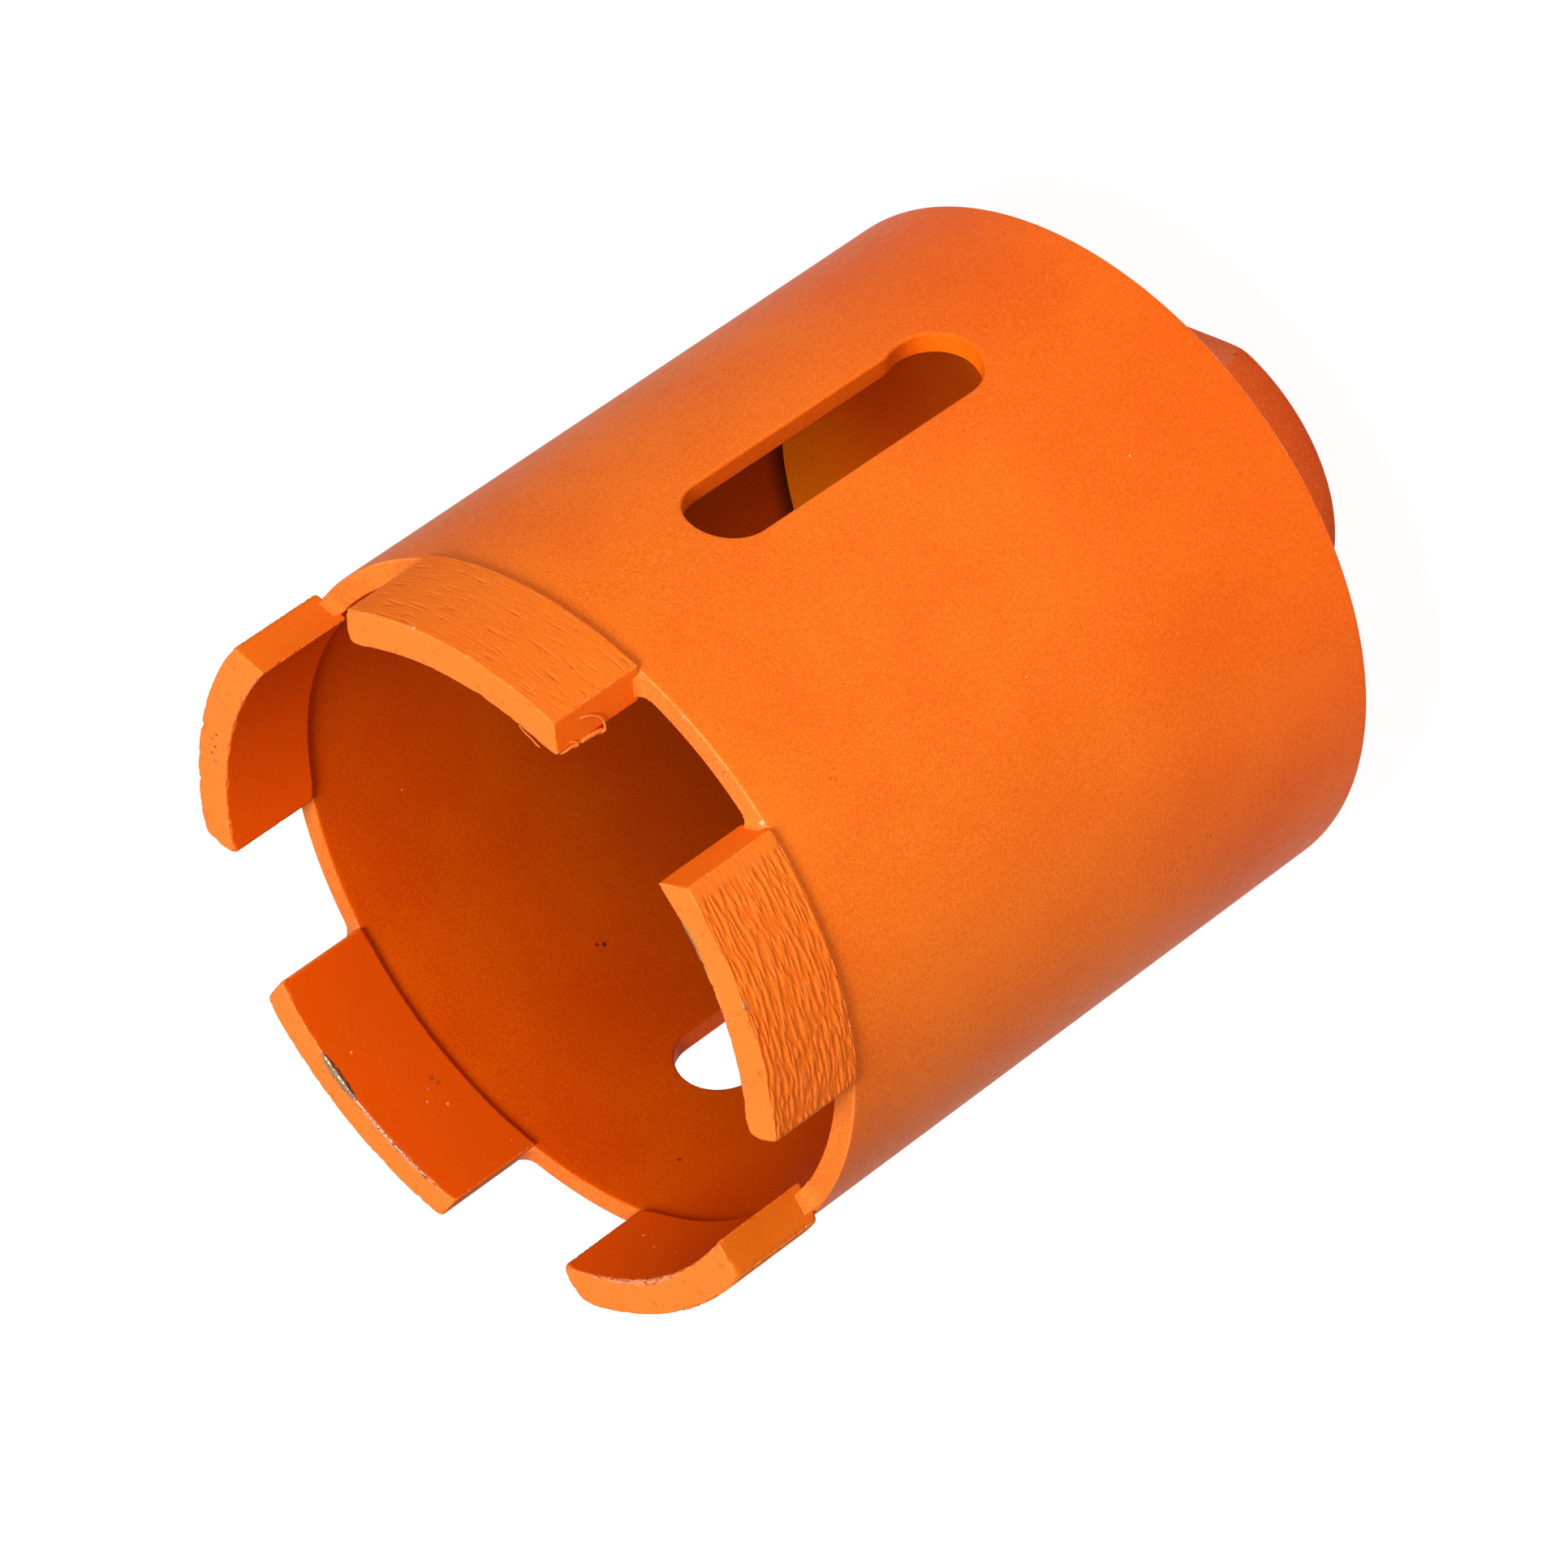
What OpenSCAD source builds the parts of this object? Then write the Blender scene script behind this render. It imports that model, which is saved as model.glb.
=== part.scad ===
// Diamond core bit for dry drilling: a slotted steel tube closed at its rear by a
// plate with a threaded hub, and cutting segments brazed on its rim.
// Millimetres. The origin is the centre of the hub's end face, and +Z runs along
// the axis towards the cutting end. Angles run counter-clockwise from +X.

/* [Barrel] */
// Outer diameter of the steel tube
barrel_d = 67; // [50:0.5:120]
// Thickness of the tube's wall
barrel_wall = 2.2; // [1.6:0.1:3]
// Length of the tube, from its rear edge to its rim
barrel_len = 65; // [60:1:150]
// Break on the tube's two outer edges
barrel_edge = 0.3; // [0.1:0.05:0.5]

/* [Core slots] */
// Number of slots round the tube, for pushing a stuck core out
slot_count = 2; // [1:1:4]
// Direction of the first slot
slot_angle = 90; // [0:1:180]
// Width of a slot, which is milled with a round front end
slot_w = 8; // [6:0.1:8.1]
// Diameter of the hole drilled at a slot's rear end
slot_hole_d = 8.2; // [8.2:0.1:12]
// Length of a slot, over its round ends
slot_len = 33.3; // [20:0.1:38]
// Distance from the rim to a slot's front end
slot_setback = 15.3; // [10:0.1:20]

/* [Back plate] */
// Thickness of the plate that closes the tube's rear
plate_t = 5.5; // [4:0.5:8]
// Radial gap round the plate and round the hub's spigot
press_gap = 0.05; // [0.02:0.01:0.1]

/* [Hub] */
// Outer diameter of the hub
hub_d = 32.4; // [29:0.2:40]
// Length that the hub stands out behind the tube
hub_len = 16.1; // [14:0.1:30]
// Chamfer round the hub's end
hub_chamfer = 0.4; // [0.2:0.1:1.5]
// Diameter of the spigot that passes through the back plate
spigot_d = 22; // [19:0.5:23.5]
// Width across the two wrench flats
wrench_af = 28.6; // [22:0.1:30]
// Length of the wrench flats, from the hub's end
wrench_len = 11; // [8:0.5:13.5]
// Direction of the first wrench flat
wrench_angle = 101.8; // [0:0.1:180]

/* [Thread] */
// Nominal diameter of the spindle thread
thread_d = 16; // [10:1:18]
// Pitch of the spindle thread
thread_pitch = 2; // [1:0.25:2.5]
// How far the countersinks open past the thread's nominal diameter
countersink = 0.4; // [0.2:0.1:0.8]

/* [Segments] */
// Number of cutting segments
segment_count = 5; // [3:1:6]
// Direction of the first segment
segment_angle = 60.5; // [0:0.5:120]
// Length of a segment, square across its two parallel ends
segment_len = 24.4; // [16:0.2:26]
// Height of a segment
segment_h = 10; // [6:0.5:14]
// How far a segment stands proud of the tube's outer face
segment_out = 0.7; // [0.3:0.1:1]
// How far a segment stands proud of the tube's inner face
segment_in = 0.6; // [0.3:0.1:1]
// Break on a segment's two cutting edges
segment_edge = 0.3; // [0.1:0.05:0.6]

/* [Joints] */
// Thickness of the braze under a segment
braze_t = 0.1; // [0.05:0.05:0.3]
// Leg of the braze fillet at each end of a segment
braze_leg = 1.2; // [0.6:0.1:1.8]
// Leg of the weld that joins the hub to the back plate
weld_leg = 2.4; // [1.5:0.1:4]
// Depth of the welded groove round the back plate's rear edge
groove = 1.5; // [0.8:0.1:2.5]
// Height of that weld's crown over the tube's rear edge
crown = 0.3; // [0.1:0.1:0.6]

/* [Hidden] */
$fn = 96;

// The tool is painted all over, and fresh faces on the rim look a little paler
paint = "#F8701F";
rim_paint = "#FF8A33";

// How far a cutting solid runs past the faces that it cuts
past = 1;

barrel_r = barrel_d / 2;
bore_r = barrel_r - barrel_wall;
rear_z = hub_len;
floor_z = rear_z + plate_t;
rim_z = rear_z + barrel_len;
plate_r = bore_r - press_gap;

// Centres of a slot's front end and of the hole at its rear
slot_front_z = rim_z - slot_setback - slot_w / 2;
slot_rear_z = rim_z - slot_setback - slot_len + slot_hole_d / 2;
// Cut by hand: how far a slot's front and rear centres lie beside its direction
slot_drift = [[0.3, 0.3], [-0.15, -0.45]];
hole_drift = [0.1, -0.1];

hub_r = hub_d / 2;
spigot_r = spigot_d / 2;
// A basic metric thread is 5/8 of the height of an equilateral triangle deep
thread_depth = 5 / 8 * thread_pitch * cos(30);
thread_minor_r = thread_d / 2 - thread_depth;
mouth_r = thread_d / 2 + countersink;

segment_z = rim_z + braze_t;
segment_outer_r = barrel_r + segment_out;
segment_inner_r = bore_r - segment_in;
segment_t = segment_outer_r - segment_inner_r;
// Placed by hand for brazing, so each segment sits a little off the even pitch
seat_drift = [0, -1.4, 1, 0.3, 1.9];

function seat_angle(i) =
    segment_angle + (i - 1) * 360 / segment_count + seat_drift[(i - 1) % len(seat_drift)];

// Corner fill between two square faces, hollow towards the open side
module fillet_profile(leg) {
    centre = leg * 1.3;
    difference() {
        square(leg);
        translate([centre, centre]) circle(r = norm([centre, centre - leg]));
    }
}

module slot_cut(i) {
    drift = slot_drift[i % len(slot_drift)];
    span = slot_front_z - slot_rear_z;
    lean = atan2(drift[0] - drift[1], span);
    depth = barrel_r + past;
    rotate([0, 90, 0]) {
        translate([-slot_rear_z, hole_drift[i % len(hole_drift)], 0])
            cylinder(h = depth, d = slot_hole_d);
        translate([-slot_rear_z, drift[1], 0]) cylinder(h = depth, d = slot_w);
        translate([-slot_front_z, drift[0], 0]) rotate(-lean) {
            cylinder(h = depth, d = slot_w);
            translate([0, -slot_w / 2, 0]) cube([span / cos(lean), slot_w, depth]);
        }
    }
}

module barrel() {
    color(paint)
    difference() {
        rotate_extrude() polygon([
            [bore_r, rear_z],
            [barrel_r - barrel_edge, rear_z],
            [barrel_r, rear_z + barrel_edge],
            [barrel_r, rim_z - barrel_edge],
            [barrel_r - barrel_edge, rim_z],
            [bore_r, rim_z]
        ]);
        for (i = [0 : slot_count - 1])
            rotate(slot_angle + i * 360 / slot_count) slot_cut(i);
    }
}

// Disc with a bevelled rear edge, which leaves room for the weld
module back_plate() {
    color(paint)
    rotate_extrude() polygon([
        [spigot_r + press_gap, rear_z],
        [plate_r - groove, rear_z],
        [plate_r, rear_z + groove],
        [plate_r, floor_z],
        [spigot_r + press_gap, floor_z]
    ]);
}

module hub_blank() {
    rotate_extrude() polygon([
        [mouth_r, 0],
        [hub_r - hub_chamfer, 0],
        [hub_r, hub_chamfer],
        [hub_r, rear_z],
        [spigot_r, rear_z],
        [spigot_r, floor_z],
        [mouth_r, floor_z],
        [thread_minor_r, floor_z - mouth_r + thread_minor_r],
        [thread_minor_r, mouth_r - thread_minor_r]
    ]);
}

module hub() {
    color(paint)
    difference() {
        hub_blank();
        for (side = [0, 180])
            rotate(wrench_angle + side) translate([wrench_af / 2, -hub_r, -past])
                cube([hub_r, hub_d, wrench_len + past]);
    }
}

module hub_weld() {
    color(paint)
    rotate_extrude() translate([hub_r, rear_z]) mirror([0, 1]) fillet_profile(weld_leg);
}

module rear_weld() {
    color(paint)
    rotate_extrude() polygon([
        [plate_r - groove, rear_z],
        [(plate_r - groove + bore_r) / 2, rear_z - crown],
        [bore_r, rear_z],
        [bore_r, rear_z + groove],
        [plate_r, rear_z + groove]
    ]);
}

module segment(i) {
    color(rim_paint)
    rotate(seat_angle(i)) translate([0, 0, segment_z])
    intersection() {
        rotate_extrude() translate([segment_inner_r, 0]) polygon([
            [0, 0],
            [segment_t, 0],
            [segment_t, segment_h - segment_edge],
            [segment_t - segment_edge, segment_h],
            [segment_edge, segment_h],
            [0, segment_h - segment_edge]
        ]);
        translate([0, -segment_len / 2, -past])
            cube([segment_outer_r + past, segment_len, segment_h + 2 * past]);
    }
}

// Thin film under a segment, with a small fillet up each of its ends
module braze(i) {
    land_r = barrel_r - barrel_edge;
    color(rim_paint)
    rotate(seat_angle(i)) translate([0, 0, rim_z])
    intersection() {
        difference() {
            cylinder(h = braze_leg, r = land_r);
            translate([0, 0, -past]) cylinder(h = braze_leg + 2 * past, r = bore_r);
        }
        union() {
            translate([0, -segment_len / 2, 0]) cube([barrel_r, segment_len, braze_t]);
            for (side = [0, 1])
                mirror([0, side, 0]) translate([0, segment_len / 2, 0])
                    rotate([90, 0, 90]) linear_extrude(barrel_r) fillet_profile(braze_leg);
        }
    }
}

barrel();
back_plate();
hub();
hub_weld();
rear_weld();
for (i = [1 : segment_count]) {
    segment(i);
    braze(i);
}
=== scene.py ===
"""Looks of a dry diamond core bit: a slotted steel tube, a rear plate with a threaded hub,
and cutting segments brazed on the rim, sprayed orange all over."""

import math
from functools import wraps

import bmesh
import bpy
from bpy.props import FloatProperty, FloatVectorProperty, IntProperty, PointerProperty
from mathutils import Matrix, Vector


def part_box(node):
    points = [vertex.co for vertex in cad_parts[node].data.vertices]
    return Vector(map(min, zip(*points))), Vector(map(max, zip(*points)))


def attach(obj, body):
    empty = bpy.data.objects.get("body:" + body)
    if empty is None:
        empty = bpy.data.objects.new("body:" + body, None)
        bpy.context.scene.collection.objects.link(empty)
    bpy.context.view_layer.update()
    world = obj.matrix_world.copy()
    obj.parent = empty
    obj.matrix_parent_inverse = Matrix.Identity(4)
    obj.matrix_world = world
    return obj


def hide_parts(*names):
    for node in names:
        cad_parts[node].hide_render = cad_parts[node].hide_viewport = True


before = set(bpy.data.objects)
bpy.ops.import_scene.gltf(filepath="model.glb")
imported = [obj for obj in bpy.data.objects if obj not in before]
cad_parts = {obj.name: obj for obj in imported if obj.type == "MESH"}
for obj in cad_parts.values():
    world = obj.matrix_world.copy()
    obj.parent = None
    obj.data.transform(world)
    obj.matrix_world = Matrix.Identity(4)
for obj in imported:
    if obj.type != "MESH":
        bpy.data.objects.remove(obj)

bl_info = {
    "name": "Diamond core bit",
    "version": (1, 0, 0),
    "blender": (4, 5, 0),
    "location": "3D Viewport > Sidebar > Core Bit",
    "description": "Builds a painted dry core bit around its packed model",
    "category": "Add Mesh",
}

BODY = "root"
MM = 0.001
# In metres: points that lie nearer than this are one, and no width is less
TINY = 1e-6
TURN = 2 * math.pi

# The packed model sets every main size
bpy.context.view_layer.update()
TUBE_LOW, TUBE_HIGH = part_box("barrel")
PLATE_LOW, PLATE_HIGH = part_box("back_plate")
HUB_LOW, HUB_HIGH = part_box("hub")
HUB_WELD_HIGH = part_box("hub_weld")[1]
REAR_WELD_LOW, REAR_WELD_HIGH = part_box("rear_weld")
SEGMENT_LOW, SEGMENT_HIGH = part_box("segment_1")

SEGMENT_COUNT = sum(name.startswith("segment_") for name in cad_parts)
# Directions of the segments' middles, each a little off the even pitch
SEGMENT_TURN = 60.5
SEAT_DRIFT = (0.0, -1.4, 1.0, 0.3, 1.9)
# Direction of one wrench flat
WRENCH_TURN = 101.8
# Each core slot was cut by hand: its direction, and how far its front end, its rear end and
# the hole drilled at its rear end lie beside that direction, in millimetres
SLOTS = (
    {"turn": 90.0, "front": 0.3, "rear": 0.3, "hole": 0.1},
    {"turn": 270.0, "front": -0.15, "rear": -0.45, "hole": -0.1},
)


def tint(code):
    """Turns a colour written as six hexadecimal digits into a linear one."""
    levels = [int(code[i:i + 2], 16) / 255 for i in (0, 2, 4)]
    linear = [v / 12.92 if v <= 0.04045 else ((v + 0.055) / 1.055) ** 2.4 for v in levels]
    return (*linear, 1.0)


# Sizes and colours


def length(title, about, default, **more):
    """A length in metres that a user may change."""
    return FloatProperty(name=title, description=about, default=default, unit="LENGTH",
                         subtype="DISTANCE", precision=5, min=0.0, **more)


def colour(title, about, code):
    """A colour that a user may change."""
    return FloatVectorProperty(name=title, description=about, default=tint(code), size=4,
                               subtype="COLOR", min=0.0, max=1.0)


class TubeSizes(bpy.types.PropertyGroup):
    """Sizes of the slotted tube and of the plate that closes it"""

    radius: length("Radius", "Outer radius of the tube", TUBE_HIGH.x)
    wall: length("Wall", "Thickness of the tube's wall", 2.2 * MM)
    edge: length("Edge", "Rounding of the tube's outer edges", 0.3 * MM)
    inner_edge: length("Inner edge", "Rounding of the tube's inner edges", 0.2 * MM)
    slot_width: length("Slot width", "Width of a slot", 8 * MM)
    hole_diameter: length("Hole diameter", "Hole drilled at a slot's rear end", 8.2 * MM)
    slot_rear: length("Slot rear", "Height of the centre of a slot's rear end", 36.6 * MM)
    slot_front: length("Slot front", "Height of the centre of a slot's front end", 61.8 * MM)
    columns: IntProperty(name="Columns", description="Faces round the tube", default=288, min=96)
    rows: IntProperty(name="Rows", description="Faces along the tube", default=98, min=40)


class HubSizes(bpy.types.PropertyGroup):
    """Sizes of the threaded hub"""

    radius: length("Radius", "Outer radius of the hub", HUB_HIGH.x)
    flat: length("Flat", "Distance of a wrench flat from the axis", 14.3 * MM)
    flat_length: length("Flat length", "Length of the wrench flats", 11 * MM)
    chamfer: length("Chamfer", "Chamfer round the hub's end", 0.4 * MM)
    edge: length("Edge", "Rounding of the painted edges", 0.2 * MM)
    spigot: length("Spigot", "Radius of the part that passes through the plate", 11 * MM)
    thread_major: length("Thread major radius", "Radius at the thread's roots", 8 * MM)
    thread_pitch: length("Thread pitch", "Distance from turn to turn", 2 * MM)
    mouth: length("Mouth", "Radius of the countersinks", 8.4 * MM)


class SegmentSizes(bpy.types.PropertyGroup):
    """Sizes of the cutting segments and of their surfaces"""

    span: length("Length", "Length across the two parallel ends", 24.4 * MM)
    inner: length("Inner radius", "Radius of the hollow face", 30.7 * MM)
    outer: length("Outer radius", "Radius of the outer face", 34.2 * MM)
    edge: length("Edge", "Rounding of the painted edges", 0.22 * MM)
    pit: length("Pit depth", "Depth of the pits in the cutting face", 0.16 * MM)
    braze_leg: length("Braze leg", "Length of the braze fillet at each end", 1.2 * MM)
    braze_film: length("Braze film", "Thickness of the braze under a segment", 0.1 * MM)


class Finish(bpy.types.PropertyGroup):
    """Colours of the paint, with its painted light and shade, and of the steel"""

    paint: colour("Paint", "Sprayed paint on the tube", "FB7A20")
    # Rear paint: painted shade where the light falls off towards the tube's rear
    rear: colour("Rear paint", "Redder coat towards the tube's rear", "E85C0A")
    # Recess paint: painted shade in the slots, in the bore near the rim and in the segments'
    # grooves
    recess_shade: colour("Recess paint", "Thinner coat in the slots and inside the rim", "EA5A03")
    # Inner paint: painted shade on the segments' inner faces, which see little of the bright
    # surroundings
    inner: colour("Inner paint", "Coat on the inner faces of the segments", "E45403")
    # Bore paint: a thinner coat, with painted shade that deepens farther into the tube
    bore: colour("Bore paint", "Thinnest coat, deep inside the tube", "863502")
    # End paints: a thicker coat and painted light on the ends that face one direction, painted
    # shade on the ends of the other segments
    end: colour("End paint", "Coat on the ends of the front segments", "FF6608")
    shaded_end: colour("Dull end paint", "Coat on the ends of the side segments", "C75E02")
    plate: colour("Plate paint", "Coat on the plate that closes the tube", "CC6604")
    hub: colour("Hub paint", "Paint on the hub and the welds", "FF7010")
    flat: colour("Flat paint", "Dusty coat on the wrench flats", "FF9A68")
    # Rim paint: painted light, a paler colour on the faces that look up towards the high lamp
    rim: colour("Rim paint", "Coat on the rim, the braze and the cutting faces", "F78533")
    # Pale edge: painted highlight along sharp edges and on the lips of grooves
    pale: colour("Pale edge", "Paint on sharp edges", "FFA868")
    strand: colour("Strand paint", "Loose strands of paint", "FF9440")
    steel: colour("Steel", "Bare steel of the thread", "8A857F")


class Stage(bpy.types.PropertyGroup):
    """Light and ground"""

    ambient: FloatProperty(name="Ambient", description="Light from all round", default=0.28, min=0)
    key_power: FloatProperty(name="Key", description="Power of the high lamp in watts",
                             default=10.5, min=0, unit="POWER")
    fill_power: FloatProperty(name="Fill", description="Power of the low lamp in watts",
                              default=2.5, min=0, unit="POWER")
    floor_size: length("Floor size", "Side of the square floor", 6.0)


# Mesh helpers


class Shell:
    """Collects faces by their corner points and closes the seams where points coincide."""

    def __init__(self):
        self.mesh = bmesh.new()
        self.known = {}

    def vertex(self, point):
        """The vertex at a point, which is made where there is none yet."""
        key = tuple(round(value / TINY * 4) for value in point)
        if key not in self.known:
            self.known[key] = self.mesh.verts.new(point)
        return self.known[key]

    def face(self, points, material=0):
        """Adds a face, unless its corners coincide or it is there already."""
        corners = list(dict.fromkeys(self.vertex(point) for point in points))
        if len(corners) < 3 or self.mesh.faces.get(corners):
            return
        made = self.mesh.faces.new(corners)
        made.smooth = True
        made.material_index = material

    def skin(self, rows, material=0):
        """Joins each row of points and the next one with quads."""
        for row, following in zip(rows, rows[1:]):
            for i in range(len(row) - 1):
                self.face((row[i], row[i + 1], following[i + 1], following[i]), material)

    def finish(self, name, *materials):
        """Returns the faces as a mesh, pointing outwards, with its materials."""
        bmesh.ops.remove_doubles(self.mesh, verts=self.mesh.verts, dist=TINY)
        bmesh.ops.recalc_face_normals(self.mesh, faces=self.mesh.faces)
        made = bpy.data.meshes.new(name)
        self.mesh.to_mesh(made)
        self.mesh.free()
        for material in materials:
            made.materials.append(material)
        return made


def polar(radius, angle, z):
    """The point at a radius, a direction in radians and a height."""
    return Vector((radius * math.cos(angle), radius * math.sin(angle), z))


def turned(point, degrees):
    """The point turned about the bit's axis."""
    return Matrix.Rotation(math.radians(degrees), 3, "Z") @ Vector(point)


def steps(start, end, count):
    """Evenly spaced values from start to end, both included."""
    return [start + (end - start) * i / count for i in range(count + 1)]


# Beside each rounding lies one more point, this many times as far from the corner as the
# rounding reaches. It keeps the flats flat when they are shaded.
BESIDE = 1.4


def rounded(corners, arc=4):
    """Rounds a closed outline, whose corners are (radius, z, rounding)."""
    outline = []
    for i, (x, z, rounding) in enumerate(corners):
        here = Vector((x, z))
        if rounding == 0:
            outline.append(here)
            continue
        back = (Vector(corners[i - 1][:2]) - here).normalized()
        ahead = (Vector(corners[(i + 1) % len(corners)][:2]) - here).normalized()
        half = back.angle(ahead) / 2
        reach = rounding / math.tan(half)
        centre = here + (back + ahead).normalized() * (rounding / math.sin(half))
        start = here + back * reach - centre
        sweep = start.angle_signed(here + ahead * reach - centre)
        outline.append(here + back * reach * BESIDE)
        for turn in steps(0, sweep, arc):
            outline.append(centre + Matrix.Rotation(-turn, 2) @ start)
        outline.append(here + ahead * reach * BESIDE)
    return outline


def lathe(shell, outline, columns, material=0):
    """Turns a closed outline of (radius, z) round the axis."""
    angles = steps(0, TURN, columns)
    rows = [[polar(point.x, angle, point.y) for angle in angles] for point in outline]
    shell.skin(rows + rows[:1], material)


def add_piece(name, mesh, slot, *replaced):
    """Puts a finished mesh in the scene as a piece of the bit."""
    piece = bpy.data.objects.new(name, mesh)
    bpy.context.scene.collection.objects.link(piece)
    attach(piece, BODY)
    if replaced:
        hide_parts(*replaced)
    return piece


# Node helpers


def sum_node(operation, swapped=False):
    """A method of Wire that joins it and another value by one operation."""
    def method(wire, other):
        first, second = (other, wire) if swapped else (wire, other)
        return wire.nodes.combine(operation, first, second)
    return method


class Wire:
    """What a node puts out. A sum of it and a wire, a number or a vector adds the next node."""

    def __init__(self, nodes, socket):
        self.nodes = nodes
        self.socket = socket

    def __neg__(self):
        return self * -1.0

    def __abs__(self):
        return self.nodes.math("ABSOLUTE", self)

    __add__ = __radd__ = sum_node("ADD")
    __sub__, __rsub__ = sum_node("SUBTRACT"), sum_node("SUBTRACT", swapped=True)
    __mul__ = __rmul__ = sum_node("MULTIPLY")
    __truediv__, __rtruediv__ = sum_node("DIVIDE"), sum_node("DIVIDE", swapped=True)
    __pow__ = sum_node("POWER")
    __lt__ = sum_node("LESS_THAN")
    __gt__ = sum_node("GREATER_THAN")


def is_vector(value):
    """Tells whether a value is a vector, as a tuple or on a wire."""
    return isinstance(value, tuple) or isinstance(value, Wire) and value.socket.type == "VECTOR"


class Nodes:
    """Adds nodes to a tree and links them. The last node is the one that the tree puts out."""

    def __init__(self, tree, last):
        self.tree = tree
        self.last = tree.nodes.new(last)

    def feed(self, socket, value):
        """Links a wire to a socket, or sets the socket's own value."""
        if isinstance(value, Wire):
            self.tree.links.new(value.socket, socket)
        else:
            socket.default_value = value

    def put_out(self, title, value):
        """Feeds a value to what the tree puts out."""
        self.feed(self.last.inputs[title], value)

    def add(self, kind, inputs=None, **settings):
        """Adds a node and returns the wires from it, by number and by name."""
        node = self.tree.nodes.new(kind)
        for name, value in settings.items():
            setattr(node, name, value)
        for name, value in (inputs or {}).items():
            self.feed(node.inputs[name], value)
        wires = dict(enumerate(Wire(self, socket) for socket in node.outputs))
        return {**{wires[i].socket.name: wires[i] for i in reversed(wires)}, **wires}

    def first(self, kind, inputs=None, **settings):
        """Adds a node and returns its first wire."""
        return self.add(kind, inputs, **settings)[0]

    def math(self, operation, *values):
        """A number worked out from numbers."""
        return self.first("ShaderNodeMath", dict(enumerate(values)), operation=operation)

    def vector(self, operation, *values):
        """A vector worked out from vectors, or a number such as its length."""
        result = "Value" if operation in ("LENGTH", "DISTANCE", "DOT_PRODUCT") else "Vector"
        return self.add("ShaderNodeVectorMath", dict(enumerate(values)),
                        operation=operation)[result]

    def combine(self, operation, first, second):
        """A sum of numbers, or of vectors. A vector can be multiplied by a number too."""
        vectors = is_vector(first) + is_vector(second)
        if vectors == 0:
            return self.math(operation, first, second)
        if vectors == 2:
            return self.vector(operation, first, second)
        if is_vector(second):
            first, second = second, first
        return self.first("ShaderNodeVectorMath", {0: first, "Scale": second}, operation="SCALE")

    def most(self, value, *others):
        """The largest of some numbers."""
        for other in others:
            value = self.math("MAXIMUM", value, other)
        return value

    def least(self, *values):
        """The smaller of two numbers."""
        return self.math("MINIMUM", *values)

    def root(self, value):
        """The square root of a number."""
        return self.math("SQRT", value)

    def length(self, x=0.0, y=0.0, z=0.0):
        """The length of a vector given by its parts."""
        return self.vector("LENGTH", self.join(x, y, z))

    def split(self, vector):
        """The three parts of a vector."""
        parts = self.add("ShaderNodeSeparateXYZ", {0: vector})
        return parts["X"], parts["Y"], parts["Z"]

    def join(self, x=0.0, y=0.0, z=0.0):
        """The vector that has these parts."""
        return self.first("ShaderNodeCombineXYZ", {0: x, 1: y, 2: z})

    def fade(self, value, start, end, low=0.0, high=1.0):
        """Runs smoothly from low at start to high at end."""
        return self.first("ShaderNodeMapRange", {"Value": value, "From Min": start, "From Max": end,
                                                 "To Min": low, "To Max": high},
                          interpolation_type="SMOOTHSTEP")

    def noise(self, place, scale, detail=2.0, seed=0.0, roughness=0.5):
        """Noise from 0 to 1. The scale is the number of its lumps in a metre."""
        return self.first("ShaderNodeTexNoise", {"Vector": place, "W": seed, "Scale": scale,
                                                 "Detail": detail, "Roughness": roughness},
                          noise_dimensions="4D")

    def mix(self, factor, first, second, blend="MIX"):
        """A colour between two, by the factor, or the first one blended with the second."""
        return self.add("ShaderNodeMix", {0: factor, 6: first, 7: second}, data_type="RGBA",
                        blend_type=blend)[2]

    def bump(self, strength, distance, height):
        """A normal that leans with a height. The height 1 stands for the distance."""
        return self.first("ShaderNodeBump", {"Strength": strength, "Distance": distance,
                                             "Height": height})


# The socket of a node tree that each kind of value needs
SOCKETS = {"float": "NodeSocketFloat", "length": "NodeSocketFloat", "vector": "NodeSocketVector",
           "count": "NodeSocketInt", "material": "NodeSocketMaterial",
           "mesh": "NodeSocketGeometry"}


def new_tree(kind, name, inputs, outputs):
    """Makes a node tree with named sockets, given by kind and default. Returns its helper and
    the wires from its inputs."""
    tree = bpy.data.node_groups.new(name, kind)
    for sockets, side in ((inputs, "INPUT"), (outputs, "OUTPUT")):
        for title, (form, default) in sockets.items():
            socket = tree.interface.new_socket(title, in_out=side, socket_type=SOCKETS[form])
            if default is not None:
                socket.default_value = default
            if form == "length":
                socket.subtype = "DISTANCE"
    n = Nodes(tree, "NodeGroupOutput")
    return n, n.add("NodeGroupInput")


def geometry_tree(name, inputs):
    """Makes a tree that puts out a mesh and takes a material besides its own inputs."""
    return new_tree("GeometryNodeTree", name, {**inputs, "Material": ("material", None)},
                    {"Geometry": ("mesh", None)})


def close_tree(n, mesh, material):
    """Ends a geometry tree: smooth faces, real instances and the material."""
    smooth = n.first("GeometryNodeSetShadeSmooth", {"Geometry": mesh})
    real = n.first("GeometryNodeRealizeInstances", {"Geometry": smooth})
    n.put_out("Geometry", n.first("GeometryNodeSetMaterial", {"Geometry": real,
                                                              "Material": material}))


def built_once(store, name):
    """Marks a function that builds a group or a material, so that later calls find it."""
    def mark(build):
        @wraps(build)
        def find_or_build():
            return getattr(bpy.data, store).get(name) or build(name)
        return find_or_build
    return mark


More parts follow.
